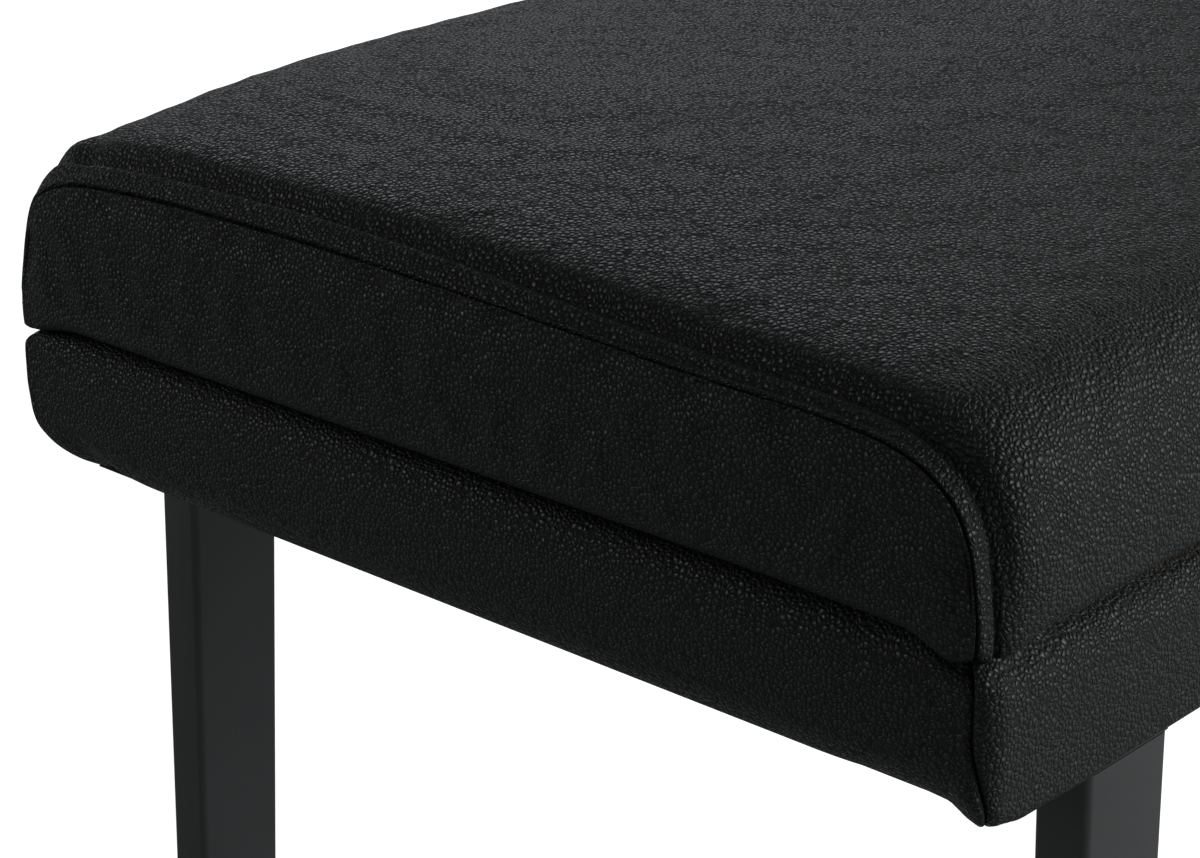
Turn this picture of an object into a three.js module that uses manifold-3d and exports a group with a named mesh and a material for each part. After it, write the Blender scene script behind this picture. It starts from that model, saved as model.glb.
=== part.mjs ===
// Piano bench with a lift-up padded seat over a shallow music compartment.
// Millimetres, +Z up. X runs along the bench, Y from the front (-Y) to the hinged rear (+Y).
// The origin lies on the floor under the middle of the bench. Left is -X, right is +X.
import * as THREE from "three";
import { mergeVertices } from "three/addons/utils/BufferGeometryUtils.js";
import Module from "manifold-3d";

const wasm = await Module();
wasm.setup();

// ---- Driving dimensions: the whole bench
const seatLength = 640; // over the end panels of the cushion
const seatDepth = 350; // over the long sides of the cushion
const seatHeight = 490; // floor to the crown of the cushion
const cushionHeight = 71; // middle of the groove to the crown
const bandHeight = 45.5; // middle of the groove to the underside of the band
const lidGap = 3; // height of the groove between cushion and band
const fitGap = 0.3; // clearance beside soft and curved pieces
const runningGap = 0.08; // radial clearance of a pivot

// ---- Leather, foam and sheet goods
const leather = 1.2;
const cushionEdge = 8; // rounding of the cushion's lower edge
const cushionTuck = 35; // width of leather turned under the seat board
const seamInset = 4; // end panel seam, in from the cushion's outline
const shoulderWidth = 30; // the long sides roll into the top over this width
const shoulderHeight = 40; // and over this height
const crownRise = 8.5; // the top rises this much from shoulder to middle
const endDrop = 0.27; // share of its height that the cushion loses at each end
const endDropReach = 46; // distance over which the ends roll down
const bandSetback = 1; // the band stands in from the cushion by this much
const bandEdge = 7; // rounding of the band's upper edges
const bandSideRoll = 4; // rounding of its lower edges on the long sides
const bandEndRoll = 16; // rounding of its lower edges at the two ends
const bandPadding = 5.5;
const liningThickness = 0.8;
const dustCoverThickness = 0.8;
const linerThickness = 1.5;

// ---- Timber
const boardThickness = 12;
const boardSetback = 10; // seat board, in from the cushion's faces
const railThickness = 18;
const panelThickness = 4;
const panelRebate = 6; // the bottom panel's hold in the rails
const blockLength = 60;
const blockDepth = 40;
const blockHeight = 26;

// ---- Legs
const legWidth = 35; // along X, at the top
const legThickness = 16; // along Y, at the top
const legFootWidth = 27.6;
const legFootThickness = 14.6;
const legWall = 1.5;
const legEdge = 2.5; // rounding of the leg's long edges
const legEndSetback = 46; // leg's outer edge to the end of the bench, at the top
const legSideSetback = 3; // leg's outer face to the side of the bench, at the top
const legEndSplay = 2.9; // outward lean of the outer edge, top to floor
const legSideSplay = 10.5; // outward lean of the outer face, top to floor
const plateThickness = 3;
const plateReach = 50; // leg plate past the leg, along Y, towards the middle
const boltRadius = 3;
const boltHeadRadius = 5.5;
const boltHeadHeight = 3;
const boltLength = 24; // from the underside of the leg plate
const boltSpacing = 22; // along Y
const boltInset = 12; // inner bolt, in from the plate's inner edge
const capSole = 4;
const capPlug = 20;

// ---- Hinge and stays
const hingeLength = 520;
const hingeKnuckles = 13;
const knuckleRadius = 2.5;
const pinRadius = 1.25;
const hingeSetback = 0.5; // hinge axis, in from the rear face of the cushion
const leafThickness = 1.2;
const leafWidth = 22;
const stayLink = 110; // pivot to pivot, the same for all four sides of the linkage
const stayBaseDrop = 17; // base pivot below the hinge axis
const stayLidDrop = 6; // lid pivot below the hinge axis
const armThickness = 2;
const armHalfWidth = 5;
const studRadius = 2;
const studHead = 3.5;
const studHeadHeight = 1.2;
const bracketThickness = 2;
const bracketLength = 32;
const bracketFoot = 16;
const bracketFootThickness = 1.5;
const bumperRadius = 5;
const bumperFromEnd = 70;
const roundSegments = 16;
const curveSegments = 5;

// ---- Places worked out from the driving dimensions
const groove = seatHeight - cushionHeight;
const lidBottom = groove + lidGap / 2;
const bandTop = groove - lidGap / 2;
const bandBottom = groove - bandHeight;
const halfLength = seatLength / 2;
const halfDepth = seatDepth / 2;
const bandHalfLength = halfLength - bandSetback;
const bandHalfDepth = halfDepth - bandSetback;
const railHalfLength = bandHalfLength - leather - fitGap - bandPadding;
const railHalfDepth = bandHalfDepth - leather - fitGap - bandPadding;
const boxHalfLength = railHalfLength - railThickness;
const boxHalfDepth = railHalfDepth - railThickness;
const railBottom = bandBottom + leather;
const railTop = bandTop - leather;
const floorTop = railBottom + panelThickness;
const plateBottom = railBottom - plateThickness;
const boardBottom = lidBottom + leather;
const boardTop = boardBottom + boardThickness;
const hingeY = halfDepth - hingeSetback;

// ---- Materials
function material(name, color, roughness, metalness = 0) {
  return new THREE.MeshStandardMaterial({ name, color, roughness, metalness });
}
const materials = {
  leather: material("leather", 0x0b0c0d, 0.5),
  foam: material("foam", 0xd9cf9a, 0.95),
  plywood: material("plywood", 0xc8a671, 0.7),
  timber: material("timber", 0xcaa873, 0.7),
  blackSteel: material("black steel", 0x16171a, 0.45, 0.4),
  zincSteel: material("zinc steel", 0xa9abad, 0.4, 1),
  rubber: material("rubber", 0x151515, 0.9),
  plastic: material("plastic", 0x131313, 0.6),
  felt: material("felt", 0x1c1c1e, 1),
  nonwoven: material("nonwoven", 0x101011, 1),
};

// ---- Solids: three.js geometry in, manifold solid out, and back to a named mesh
function solidOf(geometry) {
  const bare = geometry.clone();
  bare.deleteAttribute("normal");
  bare.deleteAttribute("uv");
  const merged = mergeVertices(bare, 1e-4);
  return new wasm.Manifold(
    new wasm.Mesh({
      numProp: 3,
      vertProperties: new Float32Array(merged.attributes.position.array),
      triVerts: new Uint32Array(merged.index.array),
    }),
  );
}

function addMesh(group, name, solid, look) {
  const made = solid.getMesh();
  const geometry = new THREE.BufferGeometry();
  const positions = new THREE.BufferAttribute(made.vertProperties, 3);
  geometry.setAttribute("position", positions);
  geometry.setIndex(new THREE.BufferAttribute(made.triVerts, 1));
  geometry.computeVertexNormals();
  const mesh = new THREE.Mesh(geometry, look);
  mesh.name = name;
  group.add(mesh);
}

// A box between two corners.
function block(low, high) {
  const size = high.map((h, i) => h - low[i]);
  const box = new THREE.BoxGeometry(...size);
  return solidOf(box.translate(...high.map((h, i) => (h + low[i]) / 2)));
}

// A cylinder along X, Y or Z, from one end to the other.
function rod(axis, center, from, to, radius, segments = roundSegments) {
  const cylinder = new THREE.CylinderGeometry(radius, radius, to - from, segments);
  if (axis === "x") cylinder.rotateZ(-Math.PI / 2);
  if (axis === "z") cylinder.rotateX(Math.PI / 2);
  const middle = (from + to) / 2;
  const place = { x: [middle, ...center], y: [center[0], middle, center[1]], z: [...center, middle] };
  return solidOf(cylinder.translate(...place[axis]));
}

// Extrudes an outline drawn in (Y, Z) along X, from x = from to x = to.
function alongX(outline, from, to, steps = 1) {
  const settings = { depth: to - from, steps, bevelEnabled: false, curveSegments };
  const geometry = new THREE.ExtrudeGeometry(outline, settings);
  // The outline's plane (x, y) becomes (Y, Z), and the extrusion's depth becomes X.
  const turn = new THREE.Matrix4().set(0, 0, 1, from, 1, 0, 0, 0, 0, 1, 0, 0, 0, 0, 0, 1);
  return geometry.applyMatrix4(turn);
}

// Extrudes an outline drawn in (X, Z) along Y, from y = -reach to y = reach.
function alongY(outline, reach) {
  const settings = { depth: 2 * reach, bevelEnabled: false, curveSegments };
  const geometry = new THREE.ExtrudeGeometry(outline, settings);
  return geometry.rotateX(Math.PI / 2).translate(0, reach, 0);
}

function mirrored(solid, flipX, flipY) {
  let made = solid;
  if (flipX) made = made.mirror([1, 0, 0]);
  if (flipY) made = made.mirror([0, 1, 0]);
  return made;
}

// A rectangle with one rounding for its lower corners and one for its upper ones.
function roundedOutline(halfWidth, bottom, top, lowRound, highRound) {
  const shape = new THREE.Shape();
  shape.moveTo(-halfWidth + lowRound, bottom);
  shape.lineTo(halfWidth - lowRound, bottom);
  if (lowRound > 0) {
    shape.absarc(halfWidth - lowRound, bottom + lowRound, lowRound, -Math.PI / 2, 0, false);
  }
  shape.lineTo(halfWidth, top - highRound);
  if (highRound > 0) {
    shape.absarc(halfWidth - highRound, top - highRound, highRound, 0, Math.PI / 2, false);
    shape.absarc(-halfWidth + highRound, top - highRound, highRound, Math.PI / 2, Math.PI, false);
  } else {
    shape.lineTo(-halfWidth, top);
  }
  if (lowRound > 0) {
    shape.lineTo(-halfWidth, bottom + lowRound);
    shape.absarc(-halfWidth + lowRound, bottom + lowRound, lowRound, Math.PI, 1.5 * Math.PI, false);
  } else {
    shape.lineTo(-halfWidth, bottom);
  }
  return shape;
}

// ---- Cushion: section across the bench, drawn in (Y, Z), inset from the outer face of the leather
function cushionOutline(inset) {
  const half = halfDepth - inset;
  const bottom = lidBottom + inset;
  const top = seatHeight - inset;
  const shoulderTop = top - crownRise;
  const shoulderBottom = shoulderTop - shoulderHeight + inset;
  const edge = cushionEdge - inset;
  const rollWidth = shoulderWidth - inset;
  const rollHeight = shoulderHeight - inset;
  const roll = (x, start, end) => {
    shape.absellipse(x, shoulderBottom, rollWidth, rollHeight, start, end, false);
  };
  const shape = new THREE.Shape();
  shape.moveTo(-half + edge, bottom);
  shape.lineTo(half - edge, bottom);
  shape.absarc(half - edge, bottom + edge, edge, -Math.PI / 2, 0, false);
  shape.lineTo(half, shoulderBottom);
  roll(half - rollWidth, 0, Math.PI / 2);
  shape.quadraticCurveTo(0, top + crownRise, -half + rollWidth, shoulderTop);
  roll(-half + rollWidth, Math.PI / 2, Math.PI);
  shape.lineTo(-half, bottom + edge);
  shape.absarc(-half + edge, bottom + edge, edge, Math.PI, 1.5 * Math.PI, false);
  return shape;
}

// Moves the sections of a whole-length body closer together towards its ends.
function crowdTowardsEnds(geometry, reach) {
  const position = geometry.attributes.position;
  for (let i = 0; i < position.count; i++) {
    position.setX(i, reach * Math.sin((position.getX(i) / reach) * (Math.PI / 2)));
  }
  return geometry;
}

// Lowers everything above the lid's underside towards the two ends, so that the ends roll down.
function rollEndsDown(geometry) {
  const position = geometry.attributes.position;
  for (let i = 0; i < position.count; i++) {
    const fromEnd = Math.max(0, halfLength - Math.abs(position.getX(i)));
    const share = 1 - endDrop * Math.exp(-fromEnd / endDropReach);
    const height = position.getZ(i) - lidBottom;
    position.setZ(i, lidBottom + (height > 0 ? height * share : height));
  }
  return geometry;
}

const cushionStations = 14;
function cushionSolid(inset) {
  const reach = halfLength + 10;
  const body = alongX(cushionOutline(inset), -reach, reach, cushionStations);
  const ends = roundedOutline(halfLength - inset, lidBottom + inset, seatHeight, cushionEdge - inset, 0);
  const rolled = solidOf(rollEndsDown(crowdTowardsEnds(body, reach)));
  return rolled.intersect(solidOf(alongY(ends, seatDepth)));
}

// The region of an end panel: inside the seam line, over the width of the leather turned under.
function endPanelTool(inset) {
  const start = halfLength - cushionTuck;
  const body = alongX(cushionOutline(inset), start, halfLength + 10, 4);
  const skirtHalf = halfDepth - inset;
  const skirtTop = lidBottom + cushionEdge;
  const skirt = block([start, -skirtHalf, lidBottom - 5], [halfLength + 10, skirtHalf, skirtTop]);
  return solidOf(rollEndsDown(body)).add(skirt);
}

function makeCushion(group) {
  const shell = cushionSolid(0).subtract(cushionSolid(leather));
  const openHalfLength = halfLength - cushionTuck;
  const openHalfDepth = halfDepth - cushionTuck;
  const opening = block(
    [-openHalfLength, -openHalfDepth, lidBottom - 5],
    [openHalfLength, openHalfDepth, lidBottom + leather + 1],
  );
  const cover = shell.subtract(opening);
  const right = endPanelTool(seamInset);
  const rightCut = endPanelTool(seamInset - fitGap);
  const main = cover.subtract(rightCut).subtract(mirrored(rightCut, true, false));
  addMesh(group, "cushion_cover", main, materials.leather);
  addMesh(group, "end_panel_right", cover.intersect(right), materials.leather);
  addMesh(group, "end_panel_left", cover.intersect(mirrored(right, true, false)), materials.leather);

  const boardHalfLength = halfLength - boardSetback;
  const boardHalfDepth = halfDepth - boardSetback;
  const board = block(
    [-boardHalfLength, -boardHalfDepth, boardBottom],
    [boardHalfLength, boardHalfDepth, boardTop],
  );
  addMesh(group, "seat_board", board, materials.plywood);
  const boardSpace = block(
    [-boardHalfLength - fitGap, -boardHalfDepth - fitGap, lidBottom - 5],
    [boardHalfLength + fitGap, boardHalfDepth + fitGap, boardTop],
  );
  addMesh(group, "foam_core", cushionSolid(leather + fitGap).subtract(boardSpace), materials.foam);

  const liningLap = 8;
  const lining = block(
    [-openHalfLength - liningLap / 2, -openHalfDepth - liningLap, lidBottom - liningThickness],
    [openHalfLength + liningLap / 2, openHalfDepth + liningLap, lidBottom],
  );
  addMesh(group, "lid_lining", lining, materials.nonwoven);
}

// ---- Box: rails, blocks, bottom panel, padding and the leather band round it
function makeBox(group, holes) {
  const panelHalfLength = boxHalfLength + panelRebate;
  const panelHalfDepth = boxHalfDepth + panelRebate;
  const panelSpace = block(
    [-panelHalfLength, -panelHalfDepth, railBottom - 1],
    [panelHalfLength, panelHalfDepth, floorTop],
  );
  const railEndRound = bandEndRoll - (bandHalfLength - railHalfLength);
  const rounded = roundedOutline(railHalfLength, railBottom, railTop, railEndRound, 0);
  const railForm = solidOf(alongY(rounded, seatDepth));
  const long = block([-railHalfLength, -railHalfDepth, railBottom], [railHalfLength, -boxHalfDepth, railTop]);
  const short = block([-railHalfLength, -boxHalfDepth, railBottom], [-boxHalfLength, boxHalfDepth, railTop]);
  const longRail = long.subtract(panelSpace).intersect(railForm);
  const shortRail = short.subtract(panelSpace).intersect(railForm);
  addMesh(group, "rail_front", longRail, materials.timber);
  addMesh(group, "rail_rear", mirrored(longRail, false, true), materials.timber);
  addMesh(group, "rail_left", shortRail, materials.timber);
  addMesh(group, "rail_right", mirrored(shortRail, true, false), materials.timber);

  const panel = block(
    [-panelHalfLength, -panelHalfDepth, railBottom],
    [panelHalfLength, panelHalfDepth, floorTop],
  );
  addMesh(group, "bottom_panel", panel.subtract(holes), materials.plywood);

  const corner = block(
    [-boxHalfLength, -boxHalfDepth, floorTop],
    [-boxHalfLength + blockLength, -boxHalfDepth + blockDepth, floorTop + blockHeight],
  );
  let liner = block(
    [-boxHalfLength + fitGap, -boxHalfDepth + fitGap, floorTop],
    [boxHalfLength - fitGap, boxHalfDepth - fitGap, floorTop + linerThickness],
  );
  const cornerSpace = block(
    [-boxHalfLength - 1, -boxHalfDepth - 1, floorTop - 1],
    [-boxHalfLength + blockLength + fitGap, -boxHalfDepth + blockDepth + fitGap, railTop],
  );
  for (const [end, flipX] of [["left", false], ["right", true]]) {
    for (const [side, flipY] of [["front", false], ["rear", true]]) {
      const made = mirrored(corner, flipX, flipY).subtract(holes);
      addMesh(group, `corner_block_${side}_${end}`, made, materials.timber);
      liner = liner.subtract(mirrored(cornerSpace, flipX, flipY));
    }
  }
  addMesh(group, "compartment_liner", liner, materials.felt);
}

// The band's rounded body, inset from the outer face of its leather.
function bandSolid(inset) {
  const edge = bandEdge - inset;
  const low = bandBottom + inset;
  const high = bandTop - inset;
  const across = roundedOutline(bandHalfDepth - inset, low, high, bandSideRoll - inset, edge);
  const along = roundedOutline(bandHalfLength - inset, low, high, bandEndRoll - inset, edge);
  return solidOf(alongX(across, -seatLength, seatLength)).intersect(solidOf(alongY(along, seatDepth)));
}

function makeBand(group, plates) {
  const inside = block(
    [-boxHalfLength, -boxHalfDepth, bandBottom - 5],
    [boxHalfLength, boxHalfDepth, bandTop + 5],
  );
  const cover = bandSolid(0).subtract(bandSolid(leather)).subtract(inside).subtract(plates);
  addMesh(group, "band_cover", cover, materials.leather);

  const railSpace = block(
    [-railHalfLength, -railHalfDepth, bandBottom - 5],
    [railHalfLength, railHalfDepth, bandTop + 5],
  );
  const ring = bandSolid(leather + fitGap).subtract(railSpace);
  const top = bandTop + 5;
  const low = bandBottom - 5;
  const front = block([-railHalfLength, -seatDepth, low], [railHalfLength, -railHalfDepth + 1, top]);
  const frontWide = block([-seatLength, -seatDepth, low], [seatLength, -railHalfDepth - fitGap, top]);
  const end = block([-seatLength, -railHalfDepth, low], [-railHalfLength, railHalfDepth, top]);
  const frontStrip = ring.intersect(front.add(frontWide));
  const endStrip = ring.intersect(end);
  addMesh(group, "band_padding_front", frontStrip, materials.foam);
  addMesh(group, "band_padding_rear", mirrored(frontStrip, false, true), materials.foam);
  addMesh(group, "band_padding_left", endStrip, materials.foam);
  addMesh(group, "band_padding_right", mirrored(endStrip, true, false), materials.foam);

  const lap = 12;
  const dust = block(
    [-boxHalfLength - lap, -boxHalfDepth - lap, bandBottom - dustCoverThickness],
    [boxHalfLength + lap, boxHalfDepth + lap, bandBottom],
  );
  addMesh(group, "dust_cover", dust.subtract(plates), materials.nonwoven);
}

// ---- Legs: a tapered, leaning tube. This is the front left one; the others are mirrored from it.
const legOuterX = -halfLength + legEndSetback;
const legOuterY = -halfDepth + legSideSetback;

// A slice of the leg between two heights, inset from its outer faces.
function legPrism(inset, from, to) {
  const halfX = legWidth / 2 - inset;
  const halfY = legThickness / 2 - inset;
  const round = Math.max(legEdge - inset, 0.3);
  const outline = roundedOutline(halfX, -halfY, halfY, round, round);
  const settings = { depth: to - from, bevelEnabled: false, curveSegments: 4 };
  const geometry = new THREE.ExtrudeGeometry(outline, settings);
  const position = geometry.attributes.position;
  for (let i = 0; i < position.count; i++) {
    const z = from + position.getZ(i);
    const down = 1 - z / plateBottom;
    const width = legWidth + (legFootWidth - legWidth) * down;
    const thickness = legThickness + (legFootThickness - legThickness) * down;
    const centreX = legOuterX - legEndSplay * down + width / 2;
    const centreY = legOuterY - legSideSplay * down + thickness / 2;
    const x = centreX + (position.getX(i) * (width / 2 - inset)) / halfX;
    const y = centreY + (position.getY(i) * (thickness / 2 - inset)) / halfY;
    position.setXYZ(i, x, y, z);
  }
  return solidOf(geometry);
}

const plateLow = [legOuterX, legOuterY, plateBottom];
const plateHigh = [legOuterX + legWidth, legOuterY + legThickness + plateReach, railBottom];
const boltX = legOuterX + legWidth / 2;
const boltYs = [plateHigh[1] - boltInset, plateHigh[1] - boltInset - boltSpacing];

function bolt(y, clearance) {
  const top = plateBottom + boltLength;
  const shank = rod("z", [boltX, y], plateBottom - 1, top + clearance, boltRadius + clearance);
  if (clearance > 0) return shank;
  const head = rod("z", [boltX, y], plateBottom - boltHeadHeight, plateBottom, boltHeadRadius);
  return shank.add(head);
}

const corners = [];
for (const [end, flipX] of [["left", false], ["right", true]]) {
  for (const [side, flipY] of [["front", false], ["rear", true]]) {
    corners.push({ name: `${side}_${end}`, flipX, flipY });
  }
}

function makeLegs(group) {
  const tube = legPrism(0, capSole, plateBottom).subtract(legPrism(legWall, capSole - 1, plateBottom + 1));
  const sole = legPrism(0.4, 0, capSole);
  const plug = legPrism(legWall + fitGap, capSole - 1, capSole + capPlug);
  const cap = sole.add(plug);
  const plate = block(plateLow, plateHigh);
  const boltHoles = bolt(boltYs[0], fitGap).add(bolt(boltYs[1], fitGap));
  for (const { name, flipX, flipY } of corners) {
    addMesh(group, `leg_${name}`, mirrored(tube, flipX, flipY), materials.blackSteel);
    addMesh(group, `foot_cap_${name}`, mirrored(cap, flipX, flipY), materials.plastic);
    addMesh(group, `leg_plate_${name}`, mirrored(plate.subtract(boltHoles), flipX, flipY), materials.blackSteel);
    boltYs.forEach((y, i) => {
      addMesh(group, `leg_bolt_${name}_${i + 1}`, mirrored(bolt(y, 0), flipX, flipY), materials.zincSteel);
    });
  }
}

// ---- Hinge: two leaves with interleaved knuckles on one pin
function hingeLeaf(first, low, high) {
  const pitch = hingeLength / hingeKnuckles;
  const start = -hingeLength / 2;
  const side = 0.4;
  let leaf = block(
    [start, hingeY - knuckleRadius - leafWidth, low],
    [-start, hingeY, high],
  );
  for (let i = 0; i < hingeKnuckles; i++) {
    const from = start + i * pitch;
    if (i % 2 === first) {
      const knuckle = rod("x", [hingeY, groove], from + side / 2, from + pitch - side / 2, knuckleRadius);
      leaf = leaf.add(knuckle);
    } else {
      const relief = knuckleRadius + side;
      const low3 = [from - side / 2, hingeY - relief, groove - relief];
      const high3 = [from + pitch + side / 2, hingeY + relief, groove + relief];
      leaf = leaf.subtract(block(low3, high3));
    }
  }
  const reach = hingeLength / 2 + 1;
  return leaf.subtract(rod("x", [hingeY, groove], -reach, reach, pinRadius + runningGap));
}

function makeHinge(base, lid) {
  const baseLeaf = hingeLeaf(0, bandTop, bandTop + leafThickness);
  const lidLeaf = hingeLeaf(1, lidBottom - leafThickness, lidBottom);
  addMesh(base, "hinge_leaf_base", baseLeaf, materials.zincSteel);
  addMesh(lid, "hinge_leaf_lid", lidLeaf, materials.zincSteel);
  const half = hingeLength / 2;
  addMesh(base, "hinge_pin", rod("x", [hingeY, groove], -half, half, pinRadius), materials.zincSteel);
}

// ---- Friction stays: the hinge, the two fixed pivots and the elbow form a rhombus, so the lower arm
// stays parallel to the lid and the upper arm stays parallel to the box at every angle.
const basePivot = {
  y: hingeY - Math.sqrt(stayLink ** 2 - stayBaseDrop ** 2),
  z: groove - stayBaseDrop,
};
const lidPivot = {
  y: hingeY - Math.sqrt(stayLink ** 2 - stayLidDrop ** 2),
  z: groove - stayLidDrop,
};
const elbow = {
  y: basePivot.y + lidPivot.y - hingeY,
  z: basePivot.z + lidPivot.z - groove,
};

// A flat bar with round ends from one pivot to the other, with a hole at each.
function arm(from, to, x, holeFrom, holeTo) {
  const angle = Math.atan2(to.z - from.z, to.y - from.y);
  const shape = new THREE.Shape();
  shape.absarc(from.y, from.z, armHalfWidth, angle + Math.PI / 2, angle + 1.5 * Math.PI, false);
  shape.absarc(to.y, to.z, armHalfWidth, angle - Math.PI / 2, angle + Math.PI / 2, false);
  const bar = solidOf(alongX(shape, x, x + armThickness));
  const reach = [x - 1, x + armThickness + 1];
  const first = rod("x", [from.y, from.z], ...reach, holeFrom);
  const second = rod("x", [to.y, to.z], ...reach, holeTo);
  return bar.subtract(first).subtract(second);
}

const bracketX = -boxHalfLength;
const lowerArmX = bracketX + bracketThickness + fitGap;
const upperArmX = lowerArmX + armThickness + fitGap;
const lidEarX = upperArmX + armThickness + fitGap;

function baseBracket() {
  const plate = block(
    [bracketX, basePivot.y - bracketLength / 2, basePivot.z - 8],
    [bracketX + bracketThickness, basePivot.y + bracketLength / 2, basePivot.z + 8],
  );
  const pivot = [basePivot.y, basePivot.z];
  const shank = rod("x", pivot, bracketX + 1, upperArmX, studRadius);
  const head = rod("x", pivot, upperArmX - fitGap / 2, upperArmX + studHeadHeight, studHead);
  return plate.add(shank).add(head);
}

function lidBracket() {
  const top = lidBottom - liningThickness;
  const halfEar = 6;
  const ear = block(
    [lidEarX, lidPivot.y - halfEar, lidPivot.z - halfEar],
    [lidEarX + bracketThickness, lidPivot.y + halfEar, top],
  );
  const foot = block(
    [lidEarX, lidPivot.y - bracketLength / 2, top - bracketFootThickness],
    [lidEarX + bracketFoot, lidPivot.y + bracketLength / 2, top],
  );
  const pivot = [lidPivot.y, lidPivot.z];
  const shank = rod("x", pivot, upperArmX - fitGap / 2, lidEarX + 1, studRadius);
  const head = rod("x", pivot, upperArmX - studHeadHeight, upperArmX - fitGap / 2, studHead - 0.5);
  return ear.add(foot).add(shank).add(head);
}

function elbowRivet() {
  const pivot = [elbow.y, elbow.z];
  const far = upperArmX + armThickness + fitGap / 2;
  const shank = rod("x", pivot, lowerArmX - fitGap / 2, far, studRadius);
  const near = rod("x", pivot, lowerArmX - studHeadHeight, lowerArmX - fitGap / 2, studHead);
  const cap = rod("x", pivot, far, far + studHeadHeight, studHead);
  return shank.add(near).add(cap);
}

function makeStays(base, lid, arms) {
  const hole = studRadius + runningGap;
  const lower = arm(basePivot, elbow, lowerArmX, hole, hole);
  const upper = arm(lidPivot, elbow, upperArmX, hole, hole);
  for (const [end, flip] of [["left", false], ["right", true]]) {
    addMesh(base, `stay_bracket_base_${end}`, mirrored(baseBracket(), flip, false), materials.zincSteel);
    addMesh(lid, `stay_bracket_lid_${end}`, mirrored(lidBracket(), flip, false), materials.zincSteel);
    addMesh(arms, `stay_lower_arm_${end}`, mirrored(lower, flip, false), materials.zincSteel);
    addMesh(arms, `stay_upper_arm_${end}`, mirrored(upper, flip, false), materials.zincSteel);
    addMesh(arms, `stay_rivet_${end}`, mirrored(elbowRivet(), flip, false), materials.zincSteel);
  }
}

function makeBumpers(group) {
  const y = -(railHalfDepth + boxHalfDepth) / 2;
  const x = halfLength - bumperFromEnd;
  const bumper = rod("z", [x, y], bandTop, lidBottom, bumperRadius, 20);
  addMesh(group, "bumper_right", bumper, materials.rubber);
  addMesh(group, "bumper_left", mirrored(bumper, true, false), materials.rubber);
}

// ---- Assembly
function everyCorner(solid) {
  let all = solid;
  for (const { flipX, flipY } of corners.slice(1)) all = all.add(mirrored(solid, flipX, flipY));
  return all;
}

const bench = new THREE.Group();
const baseGroup = new THREE.Group();
const lidGroup = new THREE.Group();
const stayGroup = new THREE.Group();
bench.add(baseGroup, lidGroup, stayGroup);

const boltSpaces = everyCorner(bolt(boltYs[0], fitGap).add(bolt(boltYs[1], fitGap)));
const plateSpaces = everyCorner(
  block(
    [plateLow[0] - fitGap, plateLow[1] - fitGap, plateLow[2] - 1],
    [plateHigh[0] + fitGap, plateHigh[1] + fitGap, plateHigh[2] + fitGap],
  ),
);
makeBox(baseGroup, boltSpaces);
makeBand(baseGroup, plateSpaces);
makeLegs(baseGroup);
makeBumpers(baseGroup);
makeCushion(lidGroup);
makeHinge(baseGroup, lidGroup);
makeStays(baseGroup, lidGroup, stayGroup);

export default bench;
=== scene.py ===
import math
from bisect import bisect_right

import bmesh
import bpy
from mathutils import Matrix, Vector
from mathutils.geometry import interpolate_bezier


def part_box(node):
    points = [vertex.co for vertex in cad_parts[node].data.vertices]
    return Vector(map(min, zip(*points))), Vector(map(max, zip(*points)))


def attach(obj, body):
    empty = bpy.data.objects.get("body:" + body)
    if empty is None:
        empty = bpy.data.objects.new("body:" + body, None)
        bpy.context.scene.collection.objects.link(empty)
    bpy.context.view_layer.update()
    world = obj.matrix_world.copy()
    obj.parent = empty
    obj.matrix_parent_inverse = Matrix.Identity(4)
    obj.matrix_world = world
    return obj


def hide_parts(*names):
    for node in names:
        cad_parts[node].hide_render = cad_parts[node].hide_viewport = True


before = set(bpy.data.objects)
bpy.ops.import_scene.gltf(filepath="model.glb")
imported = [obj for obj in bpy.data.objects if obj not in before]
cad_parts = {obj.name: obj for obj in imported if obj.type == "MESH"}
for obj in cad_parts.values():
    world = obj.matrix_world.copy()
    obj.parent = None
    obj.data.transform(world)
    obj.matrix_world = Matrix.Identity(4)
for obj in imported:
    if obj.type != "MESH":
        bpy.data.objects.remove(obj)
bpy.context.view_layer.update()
scene = bpy.context.scene
scene.view_settings.view_transform = "Standard"

# The camera stands off the near end of the bench, a little above the seat, and looks along
# it past the front left corner. It has a long lens and a slight roll. Its place is given from
# that corner, at the height of the groove between the cushion and the band.
mm = 0.001
seat_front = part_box("cushion_cover")[0].y
seat_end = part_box("end_panel_left")[0].x
groove = (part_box("band_cover")[1].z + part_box("cushion_cover")[0].z) / 2
corner_inset = 1.75 * mm
stand_off = Vector((-508.67, -347.93, 294.78)) * mm
camera_yaw, camera_pitch, camera_roll = (math.radians(a) for a in (47.476, 21.34, 0.38))


def put_in_scene(name, data):
    made = bpy.data.objects.new(name, data)
    scene.collection.objects.link(made)
    return made


camera_data = bpy.data.cameras.new("camera")
camera_data.sensor_width = 36
camera_data.lens = 90.85
camera_data.clip_start, camera_data.clip_end = 0.01, 50
camera = scene.camera = put_in_scene("camera", camera_data)
nearest_corner = Vector((seat_end + corner_inset, seat_front + corner_inset, groove))
camera.location = nearest_corner + stand_off
camera.rotation_euler = (
    Matrix.Rotation(-camera_yaw, 3, "Z")
    @ Matrix.Rotation(math.pi / 2 - camera_pitch, 3, "X")
    @ Matrix.Rotation(-camera_roll, 3, "Z")
).to_euler()

# The studio is a white backdrop that lights the bench from the horizon and is dark overhead.
# The camera sees it pure white. A polished surface sees a dim one, with a small share of the
# white added.
sky_overhead, sky_at_horizon, sky_mirrored = 0.04, 0.25, 0.04
dims_from, dark_from = 0.08, 0.62  # how far up the sky, 0 at the horizon and 1 overhead


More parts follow.
